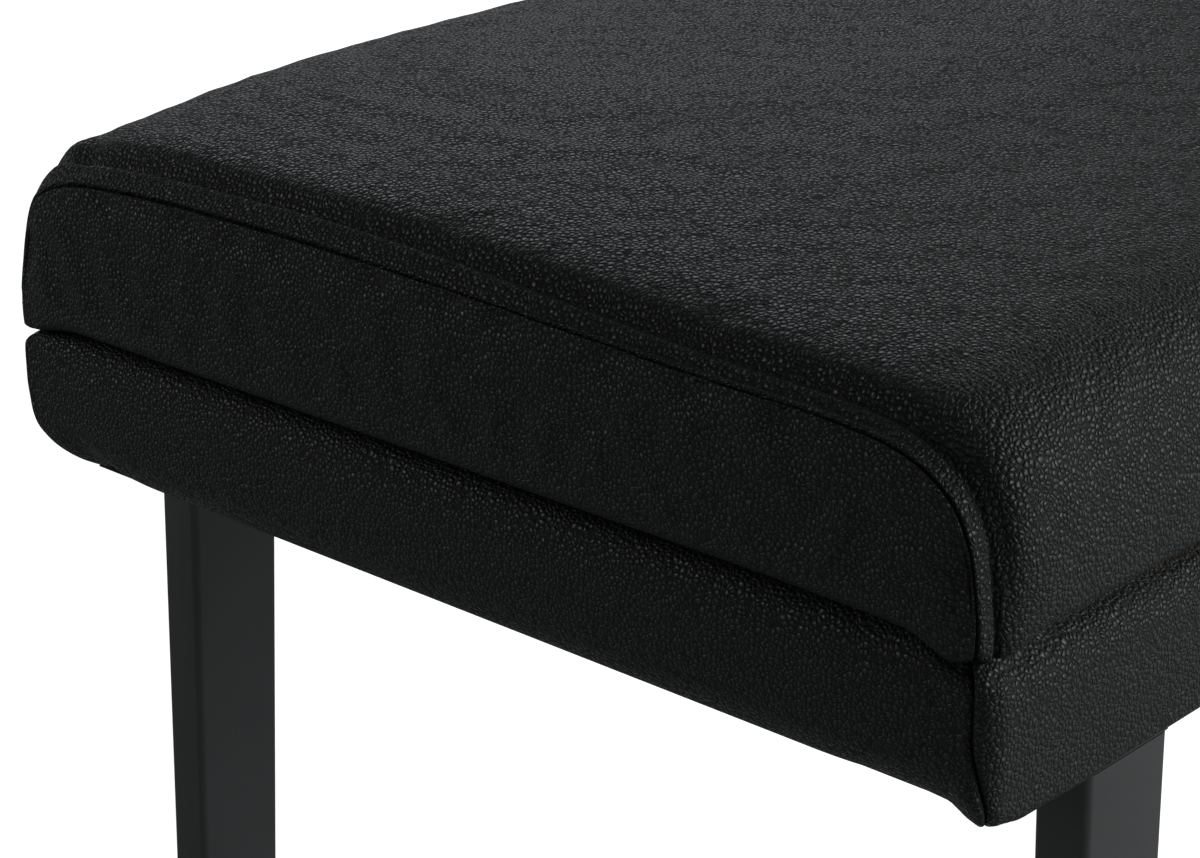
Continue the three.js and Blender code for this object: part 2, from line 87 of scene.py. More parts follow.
def node_adder(tree):
    """A function that adds a node to a tree and sets its inputs, or joins them to other nodes."""

    def add(kind, inputs=None, **settings):
        node = tree.nodes.new("ShaderNode" + kind)
        for key, value in settings.items():
            setattr(node, key, value)
        for key, value in (inputs or {}).items():
            if isinstance(value, bpy.types.NodeSocket):
                tree.links.new(value, node.inputs[key])
            else:
                node.inputs[key].default_value = value
        return node

    return add


def spread(add, value, low, high, to_low=0.0, to_high=1.0, smooth=False):
    """Maps a value from one range to another, held within it."""
    limits = {"Value": value, "From Min": low, "From Max": high, "To Min": to_low, "To Max": to_high}
    kind = "SMOOTHSTEP" if smooth else "LINEAR"
    return add("MapRange", limits, interpolation_type=kind).outputs["Result"]


def reckon(add, operation, *values):
    """One step of arithmetic on sockets and numbers."""
    return add("Math", dict(enumerate(values)), operation=operation).outputs[0]


world = bpy.data.worlds.new("white backdrop")
scene.world = world
world.use_nodes = True
sky_shader = world.node_tree.nodes["Background"]
add_sky = node_adder(world.node_tree)
rays = add_sky("LightPath").outputs
upward = add_sky("SeparateXYZ", {0: add_sky("TexCoord").outputs["Generated"]}).outputs["Z"]
dimming = spread(add_sky, upward, dims_from, dark_from, sky_at_horizon, sky_overhead, smooth=True)
mirrored_sky = reckon(add_sky, "MULTIPLY_ADD", rays["Is Glossy Ray"], sky_mirrored, dimming)
seen_directly = reckon(add_sky, "ADD", rays["Is Camera Ray"], rays["Is Transmission Ray"])
brightness = spread(add_sky, seen_directly, 0.0, 1.0, mirrored_sky, 1.0)
world.node_tree.links.new(brightness, sky_shader.inputs["Strength"])
sky_shader.inputs["Color"].default_value = (1, 1, 1, 1)


# The floor is a wide pale disc. It glows for the camera alone, so that it meets the backdrop
# without a line and still throws only a little light up at the bench.
def start_finish(name, roughness, metallic=0.0):
    """A material, a function that adds a node to it, and one that joins it to the shader."""
    made = bpy.data.materials.new(name)
    made.use_nodes = True
    tree = made.node_tree
    shader = tree.nodes["Principled BSDF"]
    shader.inputs["Roughness"].default_value = roughness
    shader.inputs["Metallic"].default_value = metallic

    def use(**sockets):
        for key, value in sockets.items():
            socket = shader.inputs[key.replace("_", " ")]
            if isinstance(value, bpy.types.NodeSocket):
                tree.links.new(value, socket)
            else:
                socket.default_value = value

    return made, node_adder(tree), use


def make_pale_floor():
    made, add, use = start_finish("pale floor", 0.9)
    glow = reckon(add, "MULTIPLY", add("LightPath").outputs["Is Camera Ray"], 0.95)
    use(Base_Color=(0.5, 0.5, 0.5, 1), Specular_IOR_Level=0.1)
    use(Emission_Color=(1, 1, 1, 1), Emission_Strength=glow)
    return made


def mesh_data(name, mesh):
    """The data of a finished bmesh, which is freed."""
    data = bpy.data.meshes.new(name)
    mesh.to_mesh(data)
    mesh.free()
    return data


floor_radius = 6
floor_mesh = bmesh.new()
bmesh.ops.create_circle(floor_mesh, cap_ends=True, segments=96, radius=floor_radius)
floor_data = mesh_data("floor", floor_mesh)
floor_data.materials.append(make_pale_floor())
put_in_scene("floor", floor_data)


# Four soft lamps light the bench: one behind it, which glances off the seat, a small one at
# the rear left that edges the near end, and two broad ones before it and to its right.
aim = Vector((0, 0, 0.42))
lamps = {
    "back_lamp": ((1.3, 1.7, 1.35), (1.7, 0.8), 6.6, (0.88, 0.95, 1.0)),
    "rear_left_lamp": ((-1.3, 1.9, 1.0), (0.7, 0.7), 6, (0.97, 0.99, 1.0)),
    "front_lamp": ((1.1, -2.4, 1.3), (1.8, 1.4), 48, (0.94, 0.98, 1.0)),
    "right_lamp": ((2.0, -1.2, 1.5), (1.6, 1.6), 13, (1.0, 0.99, 0.97)),
}  # place and size in metres, power in watts, colour
for name, (place, size, power, colour) in lamps.items():
    data = bpy.data.lights.new(name, "AREA")
    data.shape = "RECTANGLE"
    data.size, data.size_y = size
    data.energy = power
    data.color = colour
    lamp = put_in_scene(name, data)
    lamp.location = place
    lamp.rotation_euler = (aim - Vector(place)).to_track_quat("-Z", "Y").to_euler()
    lamp.visible_camera = False


# The box has four planed pine rails, butted at the corners and held there by a glued and
# screwed pine block. The grain runs along every rail.
def ramp(add, value, *stops):
    """A colour ramp from (place, colour) stops."""
    node = add("ValToRGB", {"Fac": value})
    bands = node.color_ramp.elements
    while len(bands) < len(stops):
        bands.new(0.5)
    for band, (place, colour) in zip(bands, stops):
        band.position, band.color = place, (*colour, 1)
    return node.outputs["Color"]


def object_place(add, scale=(1, 1, 1)):
    place = add("TexCoord").outputs["Object"]
    return add("Mapping", {"Vector": place, "Scale": scale}).outputs["Vector"]


def noise(add, place, scale, detail, **more):
    """A random pattern, from 0 to 1."""
    inputs = {"Vector": place, "Scale": scale, "Detail": detail, **more}
    return add("TexNoise", inputs).outputs["Fac"]


def roughen(add, height, strength, depth):
    """A bump from a height, its depth in mm."""
    return add("Bump", {"Height": height, "Strength": strength, "Distance": depth * mm}).outputs[0]


def repaint(material, *nodes):
    """Gives CAD nodes a finish in place of their plain one."""
    for name in nodes:
        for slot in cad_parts[name].material_slots:
            slot.material = material


def make_pine(name, grain_scale):
    """Growth rings and pores, stretched along the grain."""
    made, add, use = start_finish(name, 0.62)
    stretched = object_place(add, grain_scale)
    bend = noise(add, stretched, 1.4, 3)
    ring_pattern = {"Vector": stretched, "Scale": 2.2, "Distortion": 3.5, "Detail": 2, "Detail Scale": 1.2}
    rings = add("TexWave", ring_pattern).outputs["Fac"]
    colour = ramp(add, rings, (0.0, (0.66, 0.45, 0.23)), (0.7, (0.6, 0.38, 0.17)), (1.0, (0.44, 0.25, 0.1)))
    pores = noise(add, stretched, 22, 4)
    paler = {"Fac": spread(add, bend, 0.3, 0.7, 0, 0.35), "Color1": colour, "Color2": (0.74, 0.55, 0.3, 1)}
    use(
        Base_Color=add("MixRGB", paler).outputs[0],
        Roughness=spread(add, pores, 0.3, 0.7, 0.5, 0.72),
        Normal=roughen(add, reckon(add, "ADD", pores, rings), 0.4, 0.2),
    )
    return made


ends, sides = ("left", "right"), ("front", "rear")
corner_names = [f"{side}_{end}" for end in ends for side in sides]
long_grain, cross_grain = (3, 45, 45), (45, 3, 45)
repaint(make_pine("planed pine, grain along the bench", long_grain), "rail_front", "rail_rear")
short_pine = make_pine("planed pine, grain across the bench", cross_grain)
repaint(short_pine, "rail_left", "rail_right", *(f"corner_block_{name}" for name in corner_names))


# The bottom of the box is a thin birch plywood panel, let into the rails. The seat board,
# which carries the cushion, is a thicker panel of the same kind.
def make_plywood(name):
    """Birch face veneer with fine fleck, and light and dark plies on the cut edges."""
    made, add, use = start_finish(name, 0.55)
    two_plies = 2.6 * mm
    stretched = object_place(add, (8, 120, 120))
    fleck = noise(add, stretched, 5, 5, Distortion=0.4)
    face = ramp(add, fleck, (0.3, (0.68, 0.5, 0.3)), (0.55, (0.6, 0.42, 0.23)), (0.75, (0.5, 0.33, 0.16)))
    through = add("SeparateXYZ", {0: object_place(add)}).outputs["Z"]
    ply = reckon(add, "FRACT", reckon(add, "MULTIPLY", through, 1 / two_plies))
    pale_ply = reckon(add, "GREATER_THAN", ply, 0.5)
    edge = ramp(add, pale_ply, (0.0, (0.34, 0.2, 0.09)), (1.0, (0.62, 0.45, 0.26)))
    upright = add("SeparateXYZ", {0: add("NewGeometry").outputs["Normal"]}).outputs["Z"]
    on_face = reckon(add, "GREATER_THAN", reckon(add, "ABSOLUTE", upright), 0.5)
    use(
        Base_Color=add("MixRGB", {"Fac": on_face, "Color1": edge, "Color2": face}).outputs[0],
        Normal=roughen(add, fleck, 0.3, 0.1),
        Roughness=spread(add, fleck, 0.3, 0.7, 0.48, 0.66),
    )
    return made


repaint(make_plywood("birch plywood"), "bottom_panel", "seat_board")


# The floor of the music compartment is lined with black needle felt, cut round the corner
# blocks and glued down.
def make_felt():
    made, add, use = start_finish("black needle felt", 0.95)
    fibres = noise(add, object_place(add), 900, 6, Roughness=0.8)
    clumps = noise(add, object_place(add), 120, 3)
    both = reckon(add, "MULTIPLY", fibres, clumps)
    colour = ramp(add, both, (0.1, (0.008, 0.008, 0.009)), (0.4, (0.03, 0.03, 0.033)))
    use(Base_Color=colour, Normal=roughen(add, fibres, 0.9, 0.5))
    use(Sheen_Weight=0.3, Sheen_Roughness=0.5, Specular_IOR_Level=0.2)
    return made


repaint(make_felt(), "compartment_liner")


# Strips of cut polyurethane foam pad the outside of the rails, one on each side of the box,
# and give the band over them its soft edges. They are glued on.
def make_foam():
    made, add, use = start_finish("cut polyurethane foam", 0.95)
    cells = add("TexVoronoi", {"Vector": object_place(add), "Scale": 900}).outputs["Distance"]
    patches = noise(add, object_place(add), 60, 3)
    colour = ramp(add, patches, (0.35, (0.74, 0.66, 0.4)), (0.65, (0.66, 0.57, 0.32)))
    use(Base_Color=colour, Normal=roughen(add, cells, 0.8, 0.6), Specular_IOR_Level=0.15)
    return made


foam = make_foam()


def crowd(fine, coarse, growth, length):
    """Distances from 0 to length, close together at first and then further apart."""
    stations, gap = [0.0], fine
    while stations[-1] + gap < length:
        stations.append(stations[-1] + gap)
        gap = min(gap * growth, coarse)
    return [s * length / stations[-1] for s in stations]


def both_ways(half):
    """The stations of one half and, after them, the same ones mirrored about the last."""
    return half + [2 * half[-1] - s for s in reversed(half[:-1])]


def hump(x, middle, width):
    return math.exp(-(((x - middle) / width) ** 2))


def humps(x, parts):
    """A sum of (height, middle, width) humps."""
    return sum(height * hump(x, middle, width) for height, middle, width in parts)


def ease(x, low, high):
    """Rises smoothly from 0 at low to 1 at high."""
    part = min(max((x - low) / (high - low), 0), 1)
    return part * part * (3 - 2 * part)


def sheet_from_grid(mesh, columns, rows, place):
    """Adds a grid of faces and puts its point (i, j) at place(i, j)."""
    made = bmesh.ops.create_grid(mesh, x_segments=columns - 1, y_segments=rows - 1, size=1)
    for point in made["verts"]:
        i = round((point.co.x + 1) / 2 * (columns - 1))
        j = round((point.co.y + 1) / 2 * (rows - 1))
        point.co = place(i, j)
    return made["verts"]


def close_up(mesh):
    """Fills the open ends and turns every face outwards."""
    bmesh.ops.holes_fill(mesh, edges=[e for e in mesh.edges if e.is_boundary])
    bmesh.ops.recalc_face_normals(mesh, faces=mesh.faces)


def add_piece(name, mesh, material, body, stands_for=()):
    """Makes a piece from a bmesh, finishes it and sets it on its body."""
    data = mesh_data(name, mesh)
    for face in data.polygons:
        face.use_smooth = True
    data.materials.append(material)
    piece = put_in_scene(name, data)
    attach(piece, body)
    if stands_for:
        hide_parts(*stands_for)
    return piece


# The groove dips near the corners, as sums of (depth, distance from the corner, width), in mm.
front_dips = {True: ((4.8, 6.5, 8.5), (0.8, 20, 30)), False: ((4.8, 7.3, 9.5), (0.8, 20, 30))}
rear_dips = ((2.8, 0, 12),)


def groove_dip(from_corner, at_end, at_front):
    """How far the groove dips, in mm, at a distance from the corner in mm."""
    return humps(from_corner, front_dips[at_end] if at_front else rear_dips)


# The strips in section: (distance in from the band's face, height above the groove), in mm.
side_strip = [(7, -3.3), (4.6, -3.5), (3.3, -4.8), (2.8, -8), (2.7, -20), (2.7, -36), (3.7, -41), (7, -43)]
front_strip = [(7, -5.4), (5.6, -6.2), (4.2, -7.7), (3.2, -10.3), (2.8, -14), *side_strip[4:]]
end_strip = [(7, -3.3), (4.6, -3.5), (3.3, -4.8), (2.8, -8), (2.7, -18), (3.0, -26), (4.6, -33), (7, -37)]
foam_set_in = 5  # the band's corner to the strip's end, in mm, where the dips are measured
at_groove = Vector((0, 0, groove))


def make_foam_strip(mesh, half_length, outer, at_end, faces_front):
    """A strip of foam along local x, its face towards -y."""
    loop = (end_strip if at_end else front_strip if faces_front[0] else side_strip)[:]
    loop.append(loop[0])
    half = crowd(2.5, 12, 1.2, half_length / mm)
    stations = both_ways(half)

    def place(i, j):
        inward, height = loop[j]
        side = 0 if i < len(half) else 1
        s = min(stations[i], stations[-1] - stations[i])
        dip = groove_dip(s + foam_set_in, at_end, faces_front[side]) * (1 - ease(-height, 3, 24))
        return Vector((stations[i] - half[-1], inward - outer / mm, height - dip)) * mm + at_groove

    points = sheet_from_grid(mesh, len(stations), len(loop), place)
    bmesh.ops.remove_doubles(mesh, verts=points, dist=0.01 * mm)
    close_up(mesh)


# Each side: its quarter turn, half its length, its distance out, whether it is an end, and
# which of its corners are at the front.
outer_x, outer_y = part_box("band_cover")[1].xy
band_sides = {
    "front": (0, outer_x, outer_y, False, (True, True)),
    "left": (90, outer_y, outer_x, True, (True, False)),
    "rear": (180, outer_x, outer_y, False, (False, False)),
    "right": (270, outer_y, outer_x, True, (False, True)),
}
end_foam_short, side_foam_short = 10 * mm, 14 * mm
for side, (turn, half_length, outer, at_end, faces_front) in band_sides.items():
    foam_mesh = bmesh.new()
    short = end_foam_short if at_end else side_foam_short
    make_foam_strip(foam_mesh, half_length - short, outer, at_end, faces_front)
    quarter_turn = Matrix.Rotation(math.radians(-turn), 3, "Z")
    bmesh.ops.rotate(foam_mesh, verts=foam_mesh.verts, matrix=quarter_turn)
    strip = add_piece(f"band_foam_{side}", foam_mesh, foam, "base", [f"band_padding_{side}"])


# The band is four strips of black pebble-grain leather, drawn over the padding and sewn
# to each other in a mitre at every corner. Its lower edge rolls softly under at the ends.
def make_leather():
    """Rounded pebbles of uneven size, with dull creases between them that painted shade darkens."""
    made, add, use = start_finish("black pebble-grain leather", 0.42)
    place = add("TexCoord").outputs["Object"]
    drift = add("TexNoise", {"Vector": place, "Scale": 260, "Detail": 2}).outputs["Color"]
    shift = add("VectorMath", {0: drift, 1: (0.5, 0.5, 0.5)}, operation="SUBTRACT").outputs[0]
    moved = add("VectorMath", {0: shift, 1: (1.1 * mm,) * 3, 2: place}, operation="MULTIPLY_ADD").outputs[0]
    cells = {"Vector": moved, "Scale": 680, "Randomness": 0.9}
    edge = add("TexVoronoi", cells, feature="DISTANCE_TO_EDGE").outputs["Distance"]
    middle = add("TexVoronoi", cells, feature="F1").outputs["Distance"]
    crowned = spread(add, middle, 0.0, 0.75, 1.0, 0.0, smooth=True)
    crevice = spread(add, edge, 0.0, 0.24, smooth=True)
    pebble = reckon(add, "MULTIPLY_ADD", crowned, 1.1, crevice)
    wander = noise(add, place, 1500, 1)
    use(
        # The base colour is darker in the creases: painted shade, standing in for the shade the bump alone
        # does not cast.
        Base_Color=ramp(add, crevice, (0.0, (0.0024, 0.0028, 0.0027)), (0.8, (0.0134, 0.0158, 0.015))),
        Normal=roughen(add, reckon(add, "MULTIPLY_ADD", wander, 0.35, pebble), 1.0, 0.25),
        Roughness=spread(add, crevice, 0.0, 1.0, 0.82, 0.36),
        Specular_IOR_Level=0.32,
    )
    return made


leather = make_leather()
skin = 1.2 * mm


def add_leather(name, mesh, body, stands_for):
    """A piece of leather, whose thickness lies inside the face that is modelled."""
    bmesh.ops.recalc_face_normals(mesh, faces=mesh.faces)
    piece = add_piece(name, mesh, leather, body, [stands_for])
    thickness = piece.modifiers.new("leather thickness", "SOLIDIFY")
    thickness.thickness, thickness.offset = skin, -1


def smooth_path(points, count):
    """Evenly spaced points along a smooth curve through the given ones."""
    points = [Vector(p) for p in points]
    path, points_in_span = [], 13
    for i in range(len(points) - 1):
        start, end = points[i], points[i + 1]
        before = points[i - 1] if i else start
        after = points[i + 2] if i + 2 < len(points) else end
        span = (end - start).length
        lean_in = (end - before).normalized() * span / 3
        lean_out = (after - start).normalized() * span / 3
        dense = interpolate_bezier(start, start + lean_in, end - lean_out, end, points_in_span)
        path += dense[:-1] if i + 2 < len(points) else dense
    lengths = [0.0]
    for a, b in zip(path, path[1:]):
        lengths.append(lengths[-1] + (b - a).length)
    spaced, i = [], 0
    for k in range(count):
        target = lengths[-1] * k / (count - 1)
        while i + 2 < len(path) and lengths[i + 1] < target:
            i += 1
        part = (target - lengths[i]) / max(lengths[i + 1] - lengths[i], 1e-9)
        spaced.append(path[i].lerp(path[i + 1], min(part, 1)))
    return spaced


# In plan, how far round a corner the end's strip goes before the mitre (at the top and the
# bottom of a front corner, and at a rear one), and the radius of the corner in mm.
wrap_at_top, wrap_at_bottom, wrap_at_rear = (math.radians(a) for a in (8, 55, 70))
front_radius, rear_radius_top, rear_radius_gain = 6.5, 2.0, 5.0
rear_fullness = 2.8  # the rear corners stand out by this much, in mm
# The lower edge, in mm: its radius and its height above the groove along the ends, along the
# sides and at the corners, and how it sways from that near them, as humps for each (at an
# end, at the front). The leather's edge is stapled under the rail.
end_edge, side_edge = (16.0, -45.7), (3.4, -46.6)
front_corner_edge, rear_corner_edge = (8, -46.9), (16.0, -44.9)
sways = {(True, True): [(0.9, 25, 14)], (True, False): [(3.2, 21, 9)], (False, True): [(-0.4, 36, 10)]}
stapled_at = (29, -45.5)
# The mitre seam is drawn in, and the end's strip has a slight lip beside it: as humps.
mitre_seam, seam_lip = ((1.6, 0, 0.3), (0.4, 0, 1.2)), (-0.25, 1.5, 0.8)
band_rows = 90

# The upper edge in section: (distance in from the outer face, height above the groove), in
# mm. It is tight against the cushion at the front corners and crisp at the rear ones. Away
# from them it is round along the front, soft along the ends and open along the hinge.
under_cushion = [(25, -1.5), (16, -1.5)]
tight_edge = [
    *under_cushion, (11, -1.3), (8, -1.1), (5.5, -0.9), (3.6, -1), (2, -1.8), (0.8, -3.2), (0.2, -5.2),
]
crisp_edge = [
    (25, -1.5), (16, -1.4), (11, -1.1), (8, -0.8), (5.5, -0.5), (3.4, -0.4), (1.6, -0.7), (0.6, -1.7),
    (0.1, -3.5),
]
round_edge = [
    *under_cushion, (11, -1.5), (9, -1.8), (7.7, -2.9), (6.1, -3.8), (3.8, -4.8), (1.5, -7.4), (0.25, -11),
]
soft_edge = [
    *under_cushion, (11, -1.4), (8, -1.4), (5.5, -1.6), (3.6, -2.2), (2, -3.4), (0.8, -5.2), (0.2, -7.2),
]
open_edge = [
    *under_cushion, (11, -1.5), (8, -1.5), (6.5, -1.5), (5, -1.6), (2.8, -2.6), (1.2, -4.6), (0.3, -7.6),
]


def band_section(low, roll, crisp, wide_edge, opened):
    """A strip in section: its lower edge low and rolled, its upper one crisp or opened by a share."""
    upper = []
    for tight, sharp, wide in zip(tight_edge, crisp_edge, wide_edge):
        upper.append(Vector(tight).lerp(Vector(sharp), crisp).lerp(Vector(wide), opened))
    face = [(0.0, height) for height in (-14, -18, -23)]
    if roll < 14:  # a tight roll leaves room for one more point of the face
        face.append((0.05, low + roll + 6))
    rolled = []
    for k in range(6):
        angle = math.pi / 2 * k / 5
        rolled.append((roll * (1 - math.cos(angle)), low + roll * (1 - math.sin(angle))))
    under = [(roll + 3, low + 0.1), (roll + 9, (low + stapled_at[1]) / 2), stapled_at]
    return upper + face + rolled + under


def round_corner(s, wrap, radius):
    """How far along and in from a sharp corner, at s round the real one, and the way it faces."""
    turned = wrap - s / radius
    if turned <= 0:
        return radius + s - wrap * radius, 0.0, 0.0
    return radius * (1 - math.sin(turned)), radius * (1 - math.cos(turned)), turned


def make_band_strip(mesh, half_length, outer, at_end, faces_front):
    """One strip of the band along local x, its outer face at y = -outer."""
    stations = both_ways(crowd(0.22, 5, 1.13, half_length / mm))
    full = stations[len(stations) // 2]
    hinged = faces_front == (False, False)
    wide_edge = open_edge if hinged else soft_edge if at_end else round_edge
    sections = {}

    def section_at(s, at_front):
        """The lower edge is round at the ends and tight at the sides, and changes over at the corners."""
        first_roll, first_low = front_corner_edge if at_front else rear_corner_edge
        full_roll, full_low = end_edge if at_end else side_edge
        change = ease(s, 0, 9 if at_end and at_front else 14)
        sway = humps(s, sways.get((at_end, at_front), ()))
        roll = round(first_roll + (full_roll - first_roll) * change, 1)
        low = round(first_low + (full_low - first_low) * change + sway, 1)
        opened = round(ease(s, 22, 40) if hinged else ease(s, 6, 28), 2)
        crisp = 0 if at_front else round(1 - ease(s, 8, 30), 2)
        key = (low, roll, crisp, opened)
        if key not in sections:
            sections[key] = smooth_path(band_section(low, roll, crisp, wide_edge, opened), band_rows)
        return sections[key]

    def place(i, j):
        side = 0 if stations[i] < full else 1
        at_front = faces_front[side]
        s = min(stations[i], 2 * full - stations[i])
        inward, height = section_at(s, at_front)[j]
        if at_front:
            radius, proud = front_radius, 0
            wrap = wrap_at_top + (wrap_at_bottom - wrap_at_top) * ease(-height, 20, 46)
        else:
            radius, wrap = rear_radius_top + rear_radius_gain * ease(-height, 28, 46), wrap_at_rear
            proud = rear_fullness * ease(-height, -2, 5) * (1 - ease(-height, 17, 37))
        wrap = wrap if at_end else math.pi / 2 - wrap
        half_row = half_length / mm - inward + (proud if at_end else 0)
        s *= (wrap * radius + half_row - radius) / full
        along, pulled_in, turned = round_corner(s, wrap, radius)
        seam = humps(s, (*mitre_seam, seam_lip) if at_end else mitre_seam)
        swell = math.sin(math.pi / 2 * min(s / 40, 1)) * ease(-height, 4, 15) * (1 - ease(-height, 24, 40))
        if not at_end:
            swell += proud * (1 - ease(s, 0, 60))
        depth = seam - swell
        across = inward + pulled_in + depth * math.cos(turned)
        along += depth * math.sin(turned)
        dip = groove_dip(along, at_end, at_front) * (1 - ease(-height, 3, 24)) * (1 - ease(inward, 2.5, 8))
        x = (half_row - along) * (1, -1)[side]
        return Vector((x, -outer / mm + across, height - dip)) * mm + at_groove

    return sheet_from_grid(mesh, len(stations), band_rows, place)


band_mesh = bmesh.new()
for turn, half_length, outer, at_end, faces_front in band_sides.values():
    strip = make_band_strip(band_mesh, half_length, outer, at_end, faces_front)
    bmesh.ops.rotate(band_mesh, verts=strip, matrix=Matrix.Rotation(math.radians(-turn), 3, "Z"))
add_leather("band_leather", band_mesh, "base", "band_cover")


# The foam of the cushion is one crowned block, glued to the top of the seat board. Its shape
# is that of the finished cushion, which is given here, set in to leave room for the leather.
seam_setback = 0.75 * mm  # the end seam, in from the fullest part of the end panel
half_seat = -seat_end - seam_setback
welt_width = 6.6  # the lapped edge beside the end seam
# The cushion in section, at its middle and at the end seams: (distance in from the front,
# height above the groove), in mm. The seam draws the front in and the crown down.
middle_front = [
    (35, 1.5), (27, 1.5), (19, 1.5), (13, 1.3), (9, 0.9), (6, 0.6), (3.8, 0.65), (2.1, 1.3), (0.9, 2.7),
    (0.2, 5), (0, 9),
]
middle_top = [
    (0, 9), (0.2, 17), (1.5, 26), (3.2, 35), (6.2, 44.2), (10.8, 51.4), (18.5, 57.8), (28.5, 61.7), (46, 64),
    (66, 65.2), (100, 66.7), (140, 68.8), (175, 70), (215, 70.6), (250, 70.6), (280, 70.3), (300, 69.8),
    (314, 68.9), (322, 67.5), (329, 65.3), (335.5, 62), (340.5, 57.5), (345, 50.5), (347.8, 42), (349.2, 33),
    (349.8, 24), (350, 17), (350, 11),
]
middle_rear = [
    (350, 11), (349.7, 7.6), (348.9, 5), (347.2, 2.9), (345, 1.7), (342, 1.5), (338, 1.5), (331, 1.5),
    (315, 1.5),
]
end_front = [
    (35, 1.5), (29, 1.5), (23, 1.5), (18, 1.3), (14, 0.9), (11.3, 0.6), (9.2, 0.65), (7.6, 1.3), (6.4, 2.7),
    (5.7, 5), (5.55, 8.5),
]
end_top = [
    (5.55, 8.5), (6.2, 13), (7.25, 19), (8.8, 25.5), (12, 32.6), (16.6, 37.8), (24.9, 42.7), (35, 45.3),
    (51, 46.7), (69, 47.1), (88, 47.4), (106, 48), (126, 48.8), (146, 49.5), (167, 50.2), (189, 50.8),
    (211, 51.1), (242, 50.9), (275, 50.6), (293, 50), (309, 48.9), (319, 48), (327.5, 46.4), (335, 43.6),
    (341, 39.6), (344.4, 34.4), (346.8, 27.5), (348.6, 21), (350.2, 14), (350.9, 8.5),
]
end_rear = [
    (350.9, 8.5), (350.9, 5.6), (350.7, 3.1), (350.1, 1.4), (348.8, 0.5), (346, 0.3), (342, 0.6), (338, 1),
    (331, 1.5), (315, 1.5),
]
section_middle = 175  # half the seat's depth, in mm
edge_rows, top_rows = 26, 172


def make_section(front, top, rear):
    return smooth_path(front, edge_rows)[:-1] + smooth_path(top, top_rows) + smooth_path(rear, edge_rows)[1:]


middle_section = make_section(middle_front, middle_top, middle_rear)
end_section = make_section(end_front, end_top, end_rear)
section_count = len(middle_section)
seam_first, seam_last = edge_rows - 1, section_count - edge_rows

# How the shape fades from the end seam's to the middle one's: parts as (share, reach in mm,
# power). The pull of the seam dies out faster over the front than over the crown.
crown_fade = ((0.35, 8, 1), (0.35, 26, 1), (0.3, 60, 1))
rear_fade = ((0.12, 3, 1), (0.32, 10, 1.8), (0.56, 50, 1.35))
front_fade = ((0.57, 3.5, 1), (0.43, 16, 1))
flat_by_seam = 3  # at the front, the crown starts to rise this far from the seam


def fade(u, parts):
    return sum(share * math.exp(-((u / reach) ** power)) for share, reach, power in parts)


def along_section(path, j):
    low = int(min(j, section_count - 2))
    return path[low].lerp(path[low + 1], j - low)


def cushion_base(j, u):
    """A point of the cushion before its seams: j counts along the section, u is from the end seam, in mm."""
    middle, end = along_section(middle_section, j), along_section(end_section, j)
    at_front = middle.x < section_middle
    front_share = 1 - ease(middle.x, 60, 250)
    under = 0.0
    if not seam_first < j < seam_last:
        under = middle.x if at_front else 2 * section_middle - middle.x
    drop = fade(max(u - flat_by_seam * front_share, 0), crown_fade)
    rear_drop = fade(u, rear_fade) - 0.2 * ease(u, 1, 8) * (1 - ease(u, 9, 26)) * ease(middle.x, 331, 342)
    drop += (rear_drop - drop) * ease(middle.x, 200, 320)
    low_at_rear = (1 - ease(middle.y, 5, 20)) * (1 - front_share)
    drop += (1 - drop) * (1 - ease(u, 18, 42)) * low_at_rear
    inset = drop + (fade(max(u - welt_width, 0), front_fade) - drop) * front_share
    across = middle.x + (end.x - middle.x) * inset - section_middle
    height = middle.y + (end.y - middle.y) * drop
    dip = groove_dip(u, False, at_front) * (1 - ease(height, 2, 26)) * (1 - ease(under, 3, 10))
    x = -half_seat / mm + under + u * (1 - under * mm / half_seat)
    return Vector((x, across, height - dip)), under


board_top = (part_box("seat_board")[1].z - groove) / mm
foam_gap, foam_end_gap = 3.0, 5.0  # inside the leather's outer face
thin_edge, glue_line = 4, 0.2
above_board = [j for j in range(section_count) if end_section[j].y > board_top + foam_gap + thin_edge]
foam_first, foam_last = above_board[0], above_board[-1]
foam_stations = both_ways([foam_end_gap + u for u in crowd(6, 12, 1.1, half_seat / mm - foam_end_gap)])


def place_foam(i, j):
    u = foam_stations[i]
    from_end = min(u, 2 * half_seat / mm - u)
    j += foam_first
    point = cushion_base(j, from_end)[0]
    if foam_first < j < foam_last:
        along = cushion_base(j, from_end + 1)[0] - cushion_base(j, from_end - 1)[0]
        across = cushion_base(j + 0.5, from_end)[0] - cushion_base(j - 0.5, from_end)[0]
        point = point - along.cross(across).normalized() * foam_gap
    else:
        point = Vector((point.x, point.y * (1 - foam_gap / section_middle), board_top + glue_line))
    side = 1 if u <= half_seat / mm else -1
    return Vector((point.x * side, point.y, point.z)) * mm + at_groove


foam_mesh = bmesh.new()
sheet_from_grid(foam_mesh, len(foam_stations), foam_last - foam_first + 1, place_foam)
outline = [e for e in foam_mesh.edges if e.is_boundary]
long_edges = [e for e in outline if abs(e.verts[0].co.x - e.verts[1].co.x) > 1 * mm]
bmesh.ops.bridge_loops(foam_mesh, edges=long_edges)
close_up(foam_mesh)
seat_foam = add_piece("seat_foam", foam_mesh, foam, "lid", ["foam_core"])


